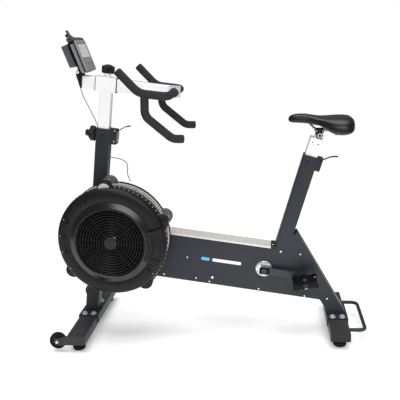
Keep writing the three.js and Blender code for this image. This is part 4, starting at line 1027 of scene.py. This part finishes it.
def spine_sides():
    """Screws on both side plates, and a short and a long accent bar between them."""
    screws = (
        (-199, 254.5), (-93, 332), (-59, 237), (-2, 221), (209, 188), (404, 157), (499, 144),
        (304.5, 358), (386, 346),
    )
    for side, label in SIDES:
        face = side * SPINE_SIDE
        for i, (x, z) in enumerate(screws):
            screw_head(f"plate_screw_{label}_{i}", x, z, 4.2, face, side, "chrome", "frame", WORLD)
        screw_head(f"plate_bolt_{label}", 10.8, 240, 6.4, face, side, "chrome", "frame", WORLD)
        bar = place(54, 0, 315, LEAN)
        skin = span(side, SPINE_SIDE - 0.1, SPINE_SIDE + 0.35)
        for name, start, end, look in (("short", -88, -52, "stripe_blue"), ("long", -40, 84, "stripe_white")):
            pill = slab(rounded_box(start, end, -7, 7, 6), *skin)
            piece(f"accent_{name}_{label}", [pill], look, "frame", bar)


def spine_top():
    """The light cover's row of perforations, its end cap and clip, and the seam behind it."""
    top = 422.05
    dots = []
    for k in range(24):
        u = 60 + 27.5 * k
        dots.append(loft([level_ring(2.3, w, 12, u, -14) for w in (top - 0.55, top)]))
    piece("cover_perforations", dots, "perforation", "frame", MAST)
    cap = box(750, 773, -39.5, 39.5, 413.5, 424.5)
    piece("cover_end_cap", [cap], "black_plastic", "frame", MAST, bevel=2, segments=3)
    screw = loft([level_ring(r, w, 16, 758, -20) for r, w in ((4, 424), (4, 426), (2.8, 427))])
    piece("end_cap_screw", [screw], "chrome", "frame", MAST)
    clip = box(300, 316, -41, -36, 414.5, 426.5)
    piece("cover_clip", [clip], "black_plastic", "frame", MAST, bevel=1)
    seam = box(775, 898, -SPINE_SIDE - 0.25, SPINE_SIDE + 0.25, 418.4, 419)
    piece("seam_line", [seam], "deep_black", "frame", MAST)


def sliding_post_details():
    """Index holes and a scale on each sliding post, dark liners in the sleeve that also carry painted shade of
    its end gaps, and a grey strip of painted shade along the tube's top edge.
    """
    face = 23
    holes = []
    for k in range(12):
        ring = [(y, 850 + 10 * k + z) for y, z in circle(3.2, 14)]
        holes.append(loft([[(x, y, z) for y, z in ring] for x in (face + 0.2, face - 0.1)]))
    piece("post_index_holes", holes, "perforation", "handlebar_post", MAST)

    def tick(k):
        return 9 if k % 5 == 0 else 5

    skin = (-face - 0.15, -face + 0.1)
    ticks = [box(*skin, -6, -6 + tick(k), 851 + 12 * k, 852 + 12 * k) for k in range(10)]
    piece("post_scale", ticks, "deep_black", "handlebar_post", MAST)
    ticks = [box(-12, -12 + tick(k), *skin, 8 + 10 * k, 9 + 10 * k) for k in range(3)]
    piece("seat_post_scale", ticks, "perforation", "seat_post", SEAT)

    half, low, high, thick = 24.3, 975.2, 1033.8, 3.6
    # Dark liners at the sleeve's ends, also standing for the shade in the gaps there: partly the liners' own
    # dark plastic, partly painted shade.
    for label, start, end in (("front", -44.2, -42.2), ("rear", 42.2, 45.2)):
        liner_and_shade = [box(start, end, -half, half, w, w + thick) for w in (low, high - thick)]
        liner_and_shade += [box(start, end, y, y + thick, low, high) for y in (-half, half - thick)]
        piece(f"sleeve_liner_and_shade_{label}", liner_and_shade, "deep_black", "handlebar_post", MAST)
    # A grey strip along the tube's top edge: painted shade for the dark line along that edge.
    strip = box(-96, 250, 9, 17, 1029.4, 1029.75)
    piece("top_tube_edge_shade", [strip], "perforation", "top_tube", MAST)


def cross_pin(name, half, proud, u, w, at):
    pins = [disc_y(4.5, side * half, side * (half + proud), u, w, 20, 1) for side in (-1, 1)]
    piece(name, pins, "black_plastic", "frame", at)


def clamp_details():
    """Cam plate, screws and cross pins of the two clamp housings, and the marks by them."""
    cam = [(57, 776), (60.5, 780), (61, 800), (60, 815), (57, 817)]
    piece("post_cam_plate", [slab(cam, -16, 16)], "steel", "frame", MAST, bevel=1)
    for i, (u, w) in enumerate(((47, 776), (49, 822))):
        screw_head(f"post_clamp_screw_{i}", u, w, 3.4, -21, -1, "chrome", "frame", MAST)
    cross_pin("post_cross_pin", 21, 3, 50, 812, MAST)
    cross_pin("seat_cross_pin", 20, 2.6, 44, -12, SEAT)
    hole = disc_y(3.6, -28, -28.35, -8, -26, 16)
    piece("seat_tube_hole", [hole], "deep_black", "frame", SEAT)
    marks = [disc_y(3, -23, -23.3, u, w, 16) for u, w in ((-12, 55), (12, 52))]
    piece("seat_post_marks", marks, "perforation", "seat_post", SEAT)


def socket_details():
    spot = (SOCKET_X, SOCKET_Z)
    gland = [(3, -26), (8.5, -26), (8.5, -29), (6.8, -31), (5.4, -34.3), (3, -34.3)]
    piece("socket_gland", [turned(gland, 28, spot)], "black_plastic", "frame", replaces=["cable_socket"])
    piece("socket_ring", [hoop(6, 7.6, -29.4, -30.8, 28, spot)], "chrome", "frame")


def post_details():
    sliding_post_details()
    clamp_details()
    socket_details()
    for i, (u, w) in enumerate(((-8, 812), (6, 120), (-6, 60))):
        screw_head(f"post_side_screw_{i}", u, w, 4.0, 26, 1, "chrome", "frame", MAST)


def foot_pad(x, y, label):
    profile = (
        (16, 0.4), (20, 0.4), (24.5, 3.5), (26.6, 9), (26.6, 13), (24.5, 17), (21.5, 20), (21.5, 33.6),
    )
    pad = loft([level_ring(r, z, 40, x, y) for r, z in profile])
    piece(f"pad_{label}", [pad], "pad_rubber", "frame", replaces=[f"foot_pad_{label}"], angle=40)


def feet_details():
    for x, end, label in ((-FOOT_X, FRONT_FOOT_END, "front"), (FOOT_X, REAR_FOOT_END, "rear")):
        for sx in (-1, 1):
            for sy in (-1, 1):
                bolt_up(f"bridge_bolt_{label}_{sx + 1}{sy + 1}", x + sx * 20, sy * 64, BRIDGE_TOP)
        for side, side_name in SIDES:
            if label == "rear":
                cap = slab(rounded_box(x - 39, x + 39, 35, 73, 6), *span(side, end - 0.5, end + 2.2))
                piece(f"end_cap_{label}_{side + 1}", [cap], "black_plastic", "frame", bevel=1.2)
            foot_pad(x, side * (end - 38), f"{label}_{side_name}")
    for side, label in SIDES:
        wheel(side, label)


def wheel(side, label):
    centre = side * (FRONT_FOOT_END - 16.5)
    body = f"transport_wheel_{label}"
    at = place(WHEEL_X, 0, WHEEL_Z)
    crown = ((24, 7), (27, 9.5), (31, 11), (34, 9), (35, 5))
    tyre = [(r, centre - w) for r, w in crown] + [(r, centre + w) for r, w in reversed(crown)]
    piece(f"wheel_tyre_{label}", [turned(tyre, 64)], "pad_rubber", body, at, replaces=[body])
    barrel = ((5, 9), (12, 9), (13, 4), (24.5, 4))
    hub = [(r, centre - w) for r, w in barrel] + [(r, centre + w) for r, w in reversed(barrel)]
    spoke = box(11, 26, centre - 7, centre + 7, -1.6, 1.6)
    shapes = [turned(hub, 40)] + [moved(spoke, turn_y(60 * k)) for k in range(6)]
    piece(f"wheel_hub_{label}", shapes, "black_plastic", body, at)
    outer = side * FRONT_FOOT_END
    bolt = [
        disc_y(7.6, outer, outer + side * 1.6, WHEEL_X, WHEEL_Z, 28, 0.6),
        disc_y(5.8, outer + side * 1.2, outer + side * 5.4, WHEEL_X, WHEEL_Z, 24, 2.6),
    ]
    piece(f"wheel_bolt_{label}", bolt, "chrome", "frame")


# ---------------------------------------------------------------- cords


def sensor_cord():
    """From its socket on the front post, down behind the post and in at the top of the fan."""
    points = [
        (SOCKET_X, -34.6, SOCKET_Z), (-425, -39, 871), (-423, -44, 860), (-422, -46, 842),
        (-423, -47, 816), (-409, -48, 791), (-391, -48, 780), (-369, -49, 776), (-343, -50, 769),
        (-324, -51, 757), (-319, -52, 742), (-321, -53, 710), (-316, -53, 690), (-311, -53, 677),
    ]
    route = spline_route(points)
    cord = rod(route, CORD_DIAMETER / 2, 12)
    obj = piece("sensor_cord", [cord], "cable_rubber", "frame", replaces=["sensor_cable"])


def console_cord():
    """Hangs from the console neck to the front post's mouth, then runs down inside the post."""
    gap, top = -25, 826
    hanging = [(-508, -6, 1094), (-505, -10, 1078), (-497.5, -16, 1056), (-490, -18, 1030), (-478, -18, 1000)]
    into_post = ((-16, 40), (-8, 22), (-2.2, 8), (0, -3), (0, -30), (0, -90), (0, -180))
    for i, (du, dw) in enumerate(into_post):
        hanging.append(tuple(MAST @ Vector((gap + du, min(-18 + 3 * i, 0), top + dw))))
    route = spline_route(hanging)
    cord = rod(route, CORD_DIAMETER / 2, 12)
    obj = piece("console_cord", [cord], "cable_rubber", None, replaces=["console_cable"])
    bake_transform(obj)


# ---------------------------------------------------------------- the whole machine

make_camera()
make_studio()
finish_nodes()
post_details()
sensor_cord()
console_cord()
fan_cover()
comb_ring()
mesh_band()
back_cover()
guard_grille()
damper_dial()
handlebar()
bar_clamp()
console()
saddle()
saddle_hardware()
pedals()
spine_sides()
spine_top()
feet_details()
knobs_and_levers()
